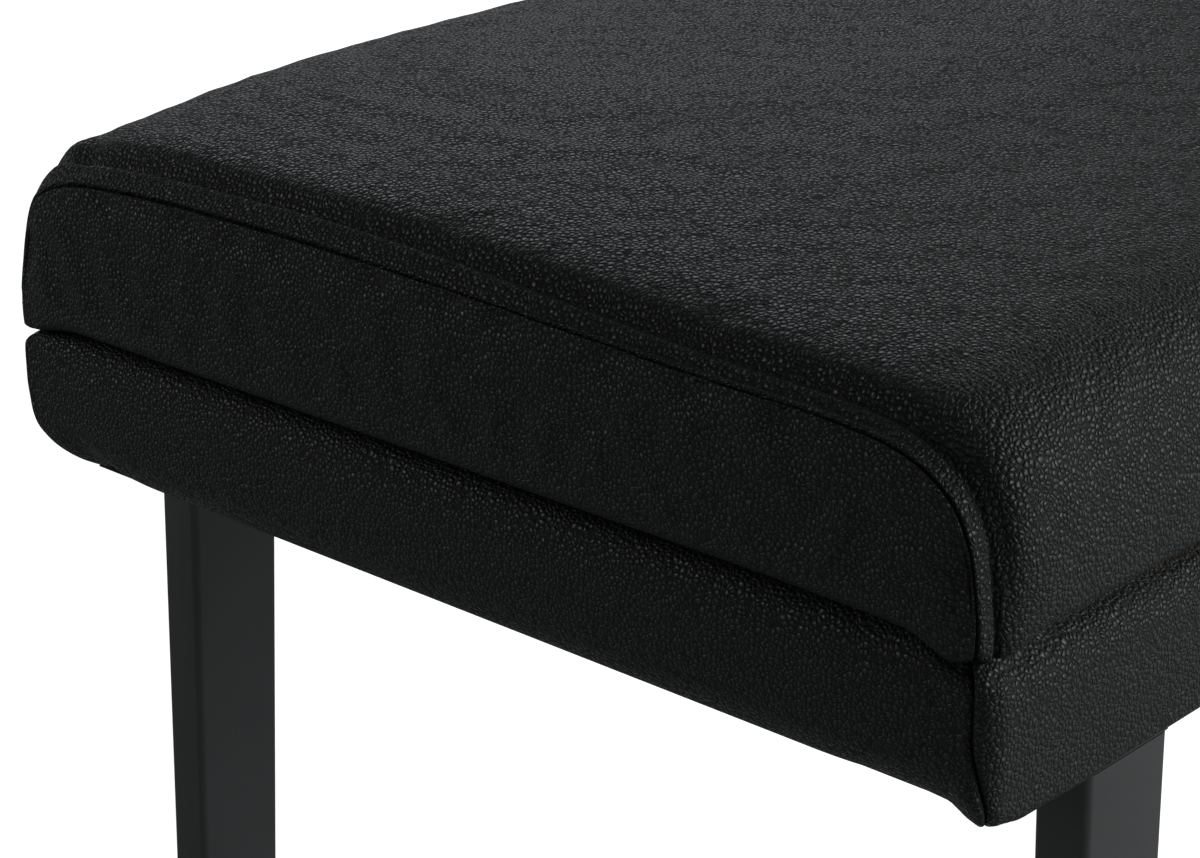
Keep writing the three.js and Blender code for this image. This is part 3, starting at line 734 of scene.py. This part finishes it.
# The cushion's top is one piece of leather, drawn over the foam from front to back and
# stapled under the seat board. At each end its edge laps over the end panel's, and the two
# are sewn together with a row of topstitching beside the seam.
def welt_height(v, z):
    """The lapped seam in section: v is from the seam line and z above the groove, in mm."""
    strip = 0.5 * ease(v, 0.5, 1.7) * (1 - ease(v, 5.3, welt_width)) + 0.2 * hump(v, 4.7, 1.3)
    upper = ease(z, 4, 28)
    stitched = -1.2 * hump(v, welt_width + 0.2, 0.75) - (0.2 + 0.9 * upper) * hump(v, welt_width + 2, 1.7)
    puffed = 0.8 * upper * ease(v, 9, 14) * (1 - ease(v, 17, 46))
    return strip + stitched + puffed


def held_within(x, low, high):
    return min(max(x, low), high)


def pressed_sheet(place, columns, rows):
    """A coarse copy of a panel, facing outwards, and where its point (column, row) is among the vertices."""
    sheet = bmesh.new()
    points = sheet_from_grid(sheet, len(columns), len(rows), lambda a, b: place(columns[a], rows[b]))
    bmesh.ops.recalc_face_normals(sheet, faces=sheet.faces)
    if sum((face.calc_center_median() - at_groove).dot(face.normal) for face in sheet.faces) < 0:
        bmesh.ops.reverse_faces(sheet, faces=sheet.faces)
    sheet.normal_update()
    sheet.verts.index_update()
    where = {}
    for k, point in enumerate(points):
        where[k % len(columns), k // len(columns)] = point.index
    return sheet, where


cloth_settings = dict(
    quality=6, mass=0.3, tension_stiffness=60, compression_stiffness=60, shear_stiffness=20,
    bending_stiffness=0.5, shrink_min=-0.012, vertex_group_mass="held", use_pressure=True,
    uniform_pressure_force=4,
)


def settle(place, columns, rows, held, limit):
    """Presses a panel out from inside as cloth, held at its seams and its stapled edges.

    Gives a function that tells how far point (i, j) of the panel moves outwards, in mm.
    """
    sheet, where = pressed_sheet(place, columns, rows)
    starts = [(point.co.copy(), point.normal.copy()) for point in sheet.verts]
    data = mesh_data("pressed panel", sheet)
    pressed = put_in_scene("pressed panel", data)
    pins = pressed.vertex_groups.new(name="held")
    firm, loose = 1.0, 0.6
    for (a, b), k in where.items():
        pins.add([k], firm if held(columns[a], rows[b]) else loose, "REPLACE")
    cloth = pressed.modifiers.new("cloth", "CLOTH")
    for key, value in cloth_settings.items():
        setattr(cloth.settings, key, value)
    cloth.settings.effector_weights.gravity = 0
    cloth.collision_settings.use_collision = False
    last_frame = 20
    cloth.point_cache.frame_start, cloth.point_cache.frame_end = 1, last_frame
    for frame_number in range(1, last_frame + 1):
        scene.frame_set(frame_number)
    ended = pressed.evaluated_get(bpy.context.evaluated_depsgraph_get()).data.vertices
    moves = [(ended[k].co - start).dot(normal) / mm for k, (start, normal) in enumerate(starts)]
    bpy.data.objects.remove(pressed)
    bpy.data.meshes.remove(data)
    scene.frame_set(1)
    share = min(1, limit / max(abs(move) for move in moves))
    risen = [[moves[where[a, b]] * share for b in range(len(rows))] for a in range(len(columns))]

    def blend(values, at, step):
        """A smooth curve through evenly spaced values."""
        before, start = values[max(at - 1, 0)], values[at]
        end, after = values[at + 1], values[min(at + 2, len(values) - 1)]
        bend = 2 * before - 5 * start + 4 * end - after
        twist = 3 * (start - end) + after - before
        return start + 0.5 * step * (end - before + step * (bend + step * twist))

    def rise(i, j):
        a = held_within(bisect_right(columns, i) - 1, 0, len(columns) - 2)
        b = held_within(bisect_right(rows, j) - 1, 0, len(rows) - 2)
        along = held_within((i - columns[a]) / (columns[a + 1] - columns[a]), 0, 1)
        down = held_within((j - rows[b]) / (rows[b + 1] - rows[b]), 0, 1)
        near_columns = [held_within(a + k, 0, len(columns) - 1) for k in (-1, 0, 1, 2)]
        return blend([blend(risen[k], b, down) for k in near_columns], 1, along)

    return rise


stations = both_ways(crowd(0.25, 5.0, 1.05, half_seat / mm))


def facing(j, u):
    """The way the main panel faces before its seams."""
    along = cushion_base(j, u + 0.5)[0] - cushion_base(j, max(u - 0.5, 0))[0]
    across = cushion_base(min(j + 0.4, section_count - 1), u)[0] - cushion_base(max(j - 0.4, 0), u)[0]
    return along.cross(across).normalized()


seam_depth, seam_half_width = 1.9, 0.45
seam_opens = [(facing(j, 0) + Vector((-1, 0, 0))).normalized() for j in range(section_count)]


def seat_point(j, u):
    """The finished surface of the main panel near the left end, and the way it faces, in mm."""
    point, under = cushion_base(j, u)
    outward = facing(j, u)
    shown = 1 - ease(under, 2, 12)
    opens = seam_opens[held_within(int(j), seam_first, seam_last)]
    turned_in = opens * (seam_depth * hump(u, 0, seam_half_width) * shown)
    return point + outward * welt_height(u, point.z) * shown - turned_in, outward


def place_main(i, j):
    u, side = stations[i], 1
    if u > stations[-1] / 2:
        u, side = stations[-1] - u, -1
    point = seat_point(j, u)[0]
    return Vector((point.x * side, point.y, point.z)) * mm + at_groove


def pick(distances, spacing):
    """The indices of points about a given distance apart, with the first and the last."""
    picked = [0]
    for k, distance in enumerate(distances[:-1]):
        if distance - distances[picked[-1]] >= spacing and distances[-1] - distance >= spacing:
            picked.append(k)
    return picked + [len(distances) - 1]


def held_main(i, j):
    """The lapped seams and everything low enough to be stapled are held."""
    from_end = min(stations[i], stations[-1] - stations[i])
    return from_end < welt_width + 2.5 or place_main(i, j).z < groove + 9 * mm


section_lengths = [0.0]
for start, finish in zip(middle_section, middle_section[1:]):
    section_lengths.append(section_lengths[-1] + (finish - start).length)
cloth_spacing, most_pressed_out = 7.5, 0.7  # in mm
cloth_columns, cloth_rows = pick(stations, cloth_spacing), pick(section_lengths, cloth_spacing)
settled = settle(place_main, cloth_columns, cloth_rows, held_main, most_pressed_out)


def place_settled(i, j):
    point = place_main(i, j)
    side = 1 if point.x < 0 else -1
    outward = facing(j, min(stations[i], stations[-1] - stations[i]))
    return point + Vector((outward.x * side, outward.y, outward.z)) * settled(i, j) * mm


main_mesh = bmesh.new()
sheet_from_grid(main_mesh, len(stations), section_count, place_settled)
add_leather("seat_leather_main", main_mesh, "lid", "cushion_cover")


# Each end panel is a D-shaped piece of the same leather, sewn along the outline of the main
# panel. Its lower edge rolls under the cushion and is stapled to the board like the rest.
seam_low = end_front[-1][1]
seam_span = seam_last - seam_first
by_corner = [0, 0.1, 0.22, 0.4, 0.65]  # extra places where the panel runs to a point
seam_places = by_corner + list(range(1, seam_span)) + [seam_span - p for p in reversed(by_corner)]
seam_line = [cushion_base(seam_first + p, 0)[0] for p in seam_places]
seam_share = [p / seam_span for p in seam_places]
seam_spots = [Vector((p.y, p.z)) for p in seam_line]
front_y, rear_y = seam_line[0].y, seam_line[-1].y
middle_y = (front_y + rear_y) / 2
near_rows = [0, 0.2, 0.42, 0.7, 1.1, 1.7, 2.6, 4, 6, 9, 13]  # distances from the seam, in mm
face_rows = len(near_rows) + 14
# The lower roll, as (distance in from the end, height above the groove), in mm. Further in it
# is the same as along the front.
roll_rows = [(0.0, 6.8), (0.1, 5.0), (0.5, 3.4), (1.2, 2.0), (2.4, 1.0), (3.9, 0.65)]
roll_rows += reversed(middle_front[:6])
front_mitre_from, front_mitre_share = 13, 0.75  # past this the front edge is cut wider than a full mitre


def place_end(i, j):
    """i counts along the seam line, j down the face and then round the lower roll and under."""
    top = seam_line[i]
    foot_y = front_y + (rear_y - front_y) * seam_share[i]
    at_rear = foot_y > middle_y
    from_corner = min(foot_y - front_y, rear_y - foot_y)
    foot_dip = groove_dip(from_corner, True, foot_y < 0)
    foot = Vector((0, foot_y, seam_low - foot_dip * (1 - ease(seam_low, 2, 26))))
    if j < face_rows:
        length = max((Vector((0, top.y, top.z)) - foot).length, 0.01)
        part = j / (face_rows - 1)
        if j < len(near_rows):
            part = min(near_rows[j] / length, part)
        y, height = top.y + (foot.y - top.y) * part, top.z + (foot.z - top.z) * part
        spot = Vector((y, height))
        near, nearest = min(((spot - seam).length, k) for k, seam in enumerate(seam_spots))
        inward = 0.0
    else:
        inward, height = roll_rows[j - face_rows]
        cut_wide = front_mitre_from + front_mitre_share * (inward - front_mitre_from)
        mitred = inward if at_rear else min(inward, cut_wide)
        y = middle_y + (foot_y - middle_y) * (1 - mitred / (rear_y - middle_y))
        near, nearest = from_corner, len(seam_spots) - 1 if foot_y >= middle_y else 0
        if at_rear:
            height -= 0.55 * height * (1 - ease(height, 5, 8.5)) * (1 - ease(near, 4, 24))
        height -= foot_dip * (1 - ease(height, 2, 26)) * (1 - ease(inward, 3, 10))
    bulge = ease(near, 0.4, 12) * (1 - ease(inward, 0, 2))
    point = Vector((-half_seat / mm - bulge + inward, y, height))
    turned_in = seam_depth * hump(near, 0, seam_half_width) * (1 - ease(inward, 2, 12))
    point -= seam_opens[seam_first + int(seam_places[nearest])] * turned_in
    return point * mm + at_groove


corner_columns = 6  # the panel runs to a point there, too small to press
seam_step, end_spacing = 16, 60
inner_places = [seam_step * p for p in range(len(seam_line) - 2 * corner_columns)]
end_columns = [corner_columns + k for k in pick(inner_places, end_spacing)]
end_rows = [0, *range(len(near_rows) - 3, face_rows + len(roll_rows), 2)]
end_most_pressed_out = 0.9  # in mm


def held_end(i, j):
    """The seam, its corners and everything from the lower roll on are held."""
    return i in (end_columns[0], end_columns[-1]) or j == 0 or j >= face_rows - 1


end_settled = settle(place_end, end_columns, end_rows, held_end, end_most_pressed_out)


def place_settled_end(i, j):
    return place_end(i, j) - Vector((end_settled(i, j), 0, 0)) * mm


for end, side in (("left", 1), ("right", -1)):
    end_mesh = bmesh.new()
    points = sheet_from_grid(end_mesh, len(seam_line), face_rows + len(roll_rows), place_settled_end)
    bmesh.ops.scale(end_mesh, verts=points, vec=(side, 1, 1))
    add_leather(f"seat_leather_end_{end}", end_mesh, "lid", f"end_panel_{end}")


# A row of topstitching in black bonded thread holds the lapped edge of the main panel down
# beside each end seam. Each stitch is a short rounded length that shows above the leather.
def make_thread():
    made, add, use = start_finish("black bonded thread", 0.5)
    strands = {"Vector": object_place(add), "Scale": 1600, "Distortion": 1.0}
    twist = add("TexWave", strands, bands_direction="DIAGONAL").outputs["Fac"]
    # The colour is darker along the twist: painted shade in the grooves between the strands.
    colour = ramp(add, twist, (0.0, (0.004, 0.004, 0.0045)), (1.0, (0.016, 0.016, 0.018)))
    use(Base_Color=colour, Normal=roughen(add, twist, 0.6, 0.08), Specular_IOR_Level=0.4)
    return made


thread = make_thread()
stitch_pitch, stitch_length, stitch_width, stitch_height, stitch_raised = 3.5, 2.7, 0.55, 0.6, 0.12  # in mm
stitch_places = range(4 * (seam_first - 3), 4 * (seam_last + 3) + 1)  # four to a row of the section
stitch_line = [seat_point(place / 4, welt_width) for place in stitch_places]
stitch_size = Matrix.Diagonal((stitch_length / 2 * mm, stitch_width / 2 * mm, stitch_height / 2 * mm, 1))
for end, side in (("left", 1), ("right", -1)):
    thread_mesh = bmesh.new()
    travelled, due = 0.0, 0.0
    for (start, outward), (finish, _) in zip(stitch_line, stitch_line[1:]):
        travelled += (finish - start).length
        if travelled < due:
            continue
        due += stitch_pitch
        ahead = (finish - start).normalized()
        aside = outward.cross(ahead).normalized()
        turn = Matrix((ahead, aside, ahead.cross(aside))).transposed().to_4x4()
        spot = Matrix.Translation(start * mm + at_groove + outward * stitch_raised * mm)
        stitch = spot @ turn @ stitch_size
        bmesh.ops.create_uvsphere(thread_mesh, u_segments=6, v_segments=5, radius=1, matrix=stitch)
    bmesh.ops.scale(thread_mesh, verts=thread_mesh.verts, vec=(side, 1, 1))
    bmesh.ops.recalc_face_normals(thread_mesh, faces=thread_mesh.faces)
    add_piece(f"topstitch_{end}", thread_mesh, thread, "lid")


# The underside of the lid is closed with a lining and that of the box with a dust cover,
# both of black spunbonded cloth, cut to size and stapled on.
def make_nonwoven():
    made, add, use = start_finish("black spunbonded cloth", 0.85)
    dot_pattern = {"Vector": object_place(add), "Scale": 700, "Randomness": 0.15}
    dots = add("TexVoronoi", dot_pattern).outputs["Distance"]
    web = noise(add, object_place(add), 1500, 4)
    both = reckon(add, "MULTIPLY_ADD", dots, 0.8, web)
    colour = ramp(add, both, (0.4, (0.01, 0.01, 0.011)), (1.0, (0.028, 0.028, 0.03)))
    use(Base_Color=colour, Normal=roughen(add, both, 0.7, 0.15), Specular_IOR_Level=0.3)
    return made


repaint(make_nonwoven(), "dust_cover", "lid_lining")


# Both cloths are held round their edges by galvanised steel staples with a 10 mm crown,
# shot in by hand at a steady pitch.
def make_zinc():
    made, add, use = start_finish("zinc plate", 0.34, metallic=1.0)
    bright, dull = (0.6, 0.61, 0.6), (0.48, 0.488, 0.48)
    stretched = object_place(add, (30, 600, 600))
    brushed = noise(add, stretched, 3, 3)
    cloud = noise(add, object_place(add), 90, 2)
    use(
        Base_Color=ramp(add, cloud, (0.3, dull), (0.7, bright)),
        Normal=roughen(add, brushed, 0.2, 0.04),
        Roughness=spread(add, brushed, 0.3, 0.7, 0.28, 0.44),
    )
    return made


zinc = make_zinc()
staple_crown, staple_wire, staple_height, staple_edge = 10 * mm, 0.8 * mm, 0.5 * mm, 0.12 * mm
staple_pitch, staple_inset, staple_corner_gap, staple_proud = 46 * mm, 5 * mm, 14 * mm, 0.15 * mm


def add_staples(name, body, cloth):
    """A row of staples along each edge of a cloth, on its underside."""
    low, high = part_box(cloth)
    mesh = bmesh.new()
    for along, across in ((0, 1), (1, 0)):
        reach = (high[along] - low[along]) / 2 - staple_corner_gap
        count = round(2 * reach / staple_pitch)
        for side in (-1, 1):
            for k in range(count + 1):
                spot = Vector((0, 0, low.z - staple_proud))
                spot[along] = -reach + 2 * reach * k / count
                spot[across] = side * ((high[across] - low[across]) / 2 - staple_inset)
                size = [staple_wire, staple_wire, staple_height]
                size[along] = staple_crown
                place = Matrix.Translation(spot) @ Matrix.Diagonal((*size, 1))
                made = bmesh.ops.create_cube(mesh, size=1, matrix=place)
                edges = {e for v in made["verts"] for e in v.link_edges}
                settings = dict(affect="EDGES", segments=1, profile=0.5, material=-1)
                bmesh.ops.bevel(mesh, geom=list(edges), offset=staple_edge, offset_type="OFFSET", **settings)
    add_piece(name, mesh, zinc, body)


add_staples("dust_cover_staples", "base", "dust_cover")
add_staples("lid_lining_staples", "lid", "lid_lining")


# The legs are tapered flat steel tube. Each is welded to a steel plate at the top, and the
# two are powder coated satin black together.
def make_powder_coat():
    made, add, use = start_finish("satin black powder coat", 0.38)
    peel = noise(add, object_place(add), 1400, 2)
    drift = noise(add, object_place(add), 40, 3)
    colour = ramp(add, drift, (0.3, (0.032, 0.0335, 0.034)), (0.7, (0.037, 0.0385, 0.039)))
    sheen = spread(add, drift, 0.3, 0.7, 0.36, 0.42)
    use(Base_Color=colour, Normal=roughen(add, peel, 0.35, 0.06), Roughness=sheen)
    return made


powder_coat = make_powder_coat()


def finish_node(name, node, material, body, bevel=0.0):
    """A copy of a CAD node with its faces joined, its corners eased and its curves smooth."""
    mesh = bmesh.new()
    mesh.from_mesh(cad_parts[node].data)
    bmesh.ops.remove_doubles(mesh, verts=mesh.verts, dist=0.002 * mm)
    bmesh.ops.dissolve_limit(mesh, angle_limit=math.radians(1), verts=mesh.verts, edges=mesh.edges)
    if bevel:
        edges = [e for e in mesh.edges if len(e.link_faces) == 2 and e.calc_face_angle() > math.radians(50)]
        settings = dict(affect="EDGES", segments=2, profile=0.5, material=-1, clamp_overlap=True)
        bmesh.ops.bevel(mesh, geom=edges, offset=bevel, offset_type="OFFSET", **settings)
    bmesh.ops.triangulate(mesh, faces=[f for f in mesh.faces if len(f.verts) > 4])
    piece = add_piece(name, mesh, material, body, [node])
    piece.data.set_sharp_from_angle(angle=math.radians(30))


for name in corner_names:
    finish_node(f"leg_tube_{name}", f"leg_{name}", powder_coat, "base")
    finish_node(f"leg_flange_{name}", f"leg_plate_{name}", powder_coat, "base", bevel=0.5 * mm)


# Two zinc-plated button-head bolts with a hexagon socket fix each leg plate to the box. They
# go up through the plate from below.
def turned(mesh, profile, segments):
    """Spins a profile of (radius, height) points, in mm, round the local z axis into a closed shape."""
    points = [mesh.verts.new((r * mm, 0, z * mm)) for r, z in profile]
    edges = [mesh.edges.new(pair) for pair in zip(points, points[1:])]
    whole_turn = dict(cent=(0, 0, 0), axis=(0, 0, 1), angle=math.tau, steps=segments, use_merge=True)
    bmesh.ops.spin(mesh, geom=points + edges, **whole_turn)
    bmesh.ops.remove_doubles(mesh, verts=mesh.verts, dist=0.001 * mm)
    bmesh.ops.recalc_face_normals(mesh, faces=mesh.faces)


def shape_socket(mesh, sides, radius, depth):
    """Draws the points inside a round recess out to a polygon."""
    step = math.tau / sides
    for point in mesh.verts:
        r = math.hypot(point.co.x, point.co.y)
        if 0.1 * mm < r < radius * 1.02 and point.co.z < depth:
            angle = math.atan2(point.co.y, point.co.x) % step - step / 2
            point.co.xy *= math.cos(step / 2) / math.cos(angle)


def add_turned(name, mesh, material, node, foot):
    """Sets a turned piece where a CAD node stands, its local zero at height foot."""
    low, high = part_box(node)
    bmesh.ops.translate(mesh, verts=mesh.verts, vec=((low.x + high.x) / 2, (low.y + high.y) / 2, foot))
    return add_piece(name, mesh, material, "base", [node])


socket_radius, socket_floor = 1.75, -1.1
bolt_head = [
    (0, socket_floor), (socket_radius, socket_floor), (socket_radius, -2.75), (2.1, -2.98), (2.9, -2.9),
    (3.9, -2.5), (4.7, -1.8), (5.2, -1.0), (5.4, -0.3), (5.3, 0), (3, 0.05), (3, 24), (0, 24),
]  # (radius, height from the plate), in mm
for name in corner_names:
    plate_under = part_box(f"leg_plate_{name}")[0].z
    for number in (1, 2):
        bolt_mesh = bmesh.new()
        turned(bolt_mesh, bolt_head, 24)
        shape_socket(bolt_mesh, 6, socket_radius * mm, -1.0 * mm)
        node, bolt_name = f"leg_bolt_{name}_{number}", f"button_bolt_{name}_{number}"
        bolt = add_turned(bolt_name, bolt_mesh, zinc, node, plate_under)
        bolt.data.set_sharp_from_angle(angle=math.radians(35))


# The lid turns on a long hinge of folded zinc-plated strip with a steel pin. Each leaf is
# fixed by seven countersunk screws, one to the rear rail and the other to the seat board.
repaint(zinc, "hinge_leaf_base", "hinge_leaf_lid", "hinge_pin")
screw_cap = [
    (0, -0.25), (0.3, -0.2), (0.34, 0.28), (0.7, 0.2), (1, 0.05), (1, -0.3), (0.55, -0.6), (0, -0.6),
]  # (share of the head's radius, height from the face in mm)


def add_screws(name, body, spots, facing, radius):
    """Countersunk cross-recessed screws, their heads just proud of a face and their radius in mm."""
    mesh = bmesh.new()
    for spot in spots:
        screw = bmesh.new()
        turned(screw, [(share * radius, z) for share, z in screw_cap], 16)
        for point in screw.verts:
            share = math.hypot(point.co.x, point.co.y) / (radius * mm)
            if 0.25 < share < 0.4:
                angle = math.atan2(point.co.y, point.co.x)
                point.co.xy *= 0.5 + 1.15 * math.cos(2 * angle) ** 4
        turn = Vector((0, 0, 1)).rotation_difference(Vector(facing)).to_matrix().to_4x4()
        bmesh.ops.transform(screw, matrix=Matrix.Translation(spot) @ turn, verts=screw.verts)
        data = mesh_data("screw", screw)
        mesh.from_mesh(data)
        bpy.data.meshes.remove(data)
    piece = add_piece(name, mesh, zinc, body)
    piece.data.set_sharp_from_angle(angle=math.radians(35))


hinge_low, hinge_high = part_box("hinge_leaf_base")
hinge_screws, hinge_screw_radius, hinge_screw_in = 7, 3.2, 11 * mm
hinge_screw_y = hinge_low.y + hinge_screw_in
hinge_pitch = (hinge_high.x - hinge_low.x) / hinge_screws
screw_xs = [hinge_low.x + hinge_pitch * (k + 0.5) for k in range(hinge_screws)]
leaf_thickness, half_gap = 1 * mm, 1.5 * mm  # each leaf lies on its board, half a gap from the middle
for body, side in (("base", 1), ("lid", -1)):
    spots = [(x, hinge_screw_y, groove - side * (half_gap - leaf_thickness)) for x in screw_xs]
    add_screws(f"hinge_screws_{body}", body, spots, (0, 0, side), hinge_screw_radius)


# A jointed friction stay at each end holds the lid open: two zinc-plated steel arms with a
# rivet at the elbow, each pivoted on a bracket that two screws hold.
stay_bodies = {
    "bracket_base": ("base", 0.25), "bracket_lid": ("lid", 0.25), "lower_arm": ("stay_lower", 0.25),
    "upper_arm": ("stay_upper", 0.25), "rivet": ("stay_lower", 0.3),
}  # each part's body, and the ease of its edges in mm
# Of the base bracket and then the lid bracket: the thickness of the metal under the screws,
# how far the screws are in from its edge and apart, and the radius of a screw in mm.
base_plate, base_screw_in, base_screws_apart, base_screw_radius = 2 * mm, 5 * mm, 8 * mm, 2.2
lid_foot, lid_screw_in, lid_screws_apart, lid_screw_radius = 1.5 * mm, 6 * mm, 20 * mm, 2.6
for end, side in (("left", 1), ("right", -1)):
    for part, (body, edge_ease) in stay_bodies.items():
        body = f"{body}_{end}" if body.startswith("stay") else body
        node = f"stay_{part}_{end}"
        finish_node(f"friction_{node}", node, zinc, body, bevel=edge_ease * mm)
    low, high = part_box(f"stay_bracket_base_{end}")
    inner_face = (low.x if side > 0 else high.x) + side * base_plate
    heights = [(low.z + high.z) / 2 + way * base_screws_apart / 2 for way in (-1, 1)]
    spots = [(inner_face, high.y - base_screw_in, z) for z in heights]
    add_screws(f"stay_screws_base_{end}", "base", spots, (side, 0, 0), base_screw_radius)
    low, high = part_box(f"stay_bracket_lid_{end}")
    screw_x = (high.x if side > 0 else low.x) - side * lid_screw_in
    foot_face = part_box("lid_lining")[0].z - lid_foot
    spots = [(screw_x, (low.y + high.y) / 2 + way * lid_screws_apart / 2, foot_face) for way in (-1, 1)]
    add_screws(f"stay_screws_lid_{end}", "lid", spots, (0, 0, -1), lid_screw_radius)


# Two domed bumpers of matt rubber stand on the front rail, one near each end, and carry the
# front of the closed lid.
def make_dark_moulding(name, roughness):
    """The faintly speckled surface of moulded rubber or plastic."""
    made, add, use = start_finish(name, roughness)
    speck = noise(add, object_place(add), 1800, 3)
    colour = ramp(add, speck, (0.3, (0.014, 0.014, 0.014)), (0.7, (0.024, 0.024, 0.024)))
    use(Base_Color=colour, Normal=roughen(add, speck, 0.5, 0.08), Specular_IOR_Level=0.35)
    return made


rubber = make_dark_moulding("matt rubber", 0.8)
bumper_dome = [
    (0, 0), (4.6, 0), (5, 0.35), (5, 1.5), (4.7, 2.1), (3.9, 2.6), (2.6, 2.85), (1.3, 2.95), (0, 3),
]  # (radius, height), in mm
for end in ends:
    node = f"bumper_{end}"
    bumper_mesh = bmesh.new()
    turned(bumper_mesh, bumper_dome, 28)
    add_turned(f"lid_{node}", bumper_mesh, rubber, node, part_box(node)[0].z)


# A moulded cap of black plastic with a fine texture closes the foot of each leg and stands
# on the floor.
plastic = make_dark_moulding("fine textured plastic", 0.55)
for name in corner_names:
    finish_node(f"foot_plug_{name}", f"foot_cap_{name}", plastic, "base", bevel=0.5 * mm)
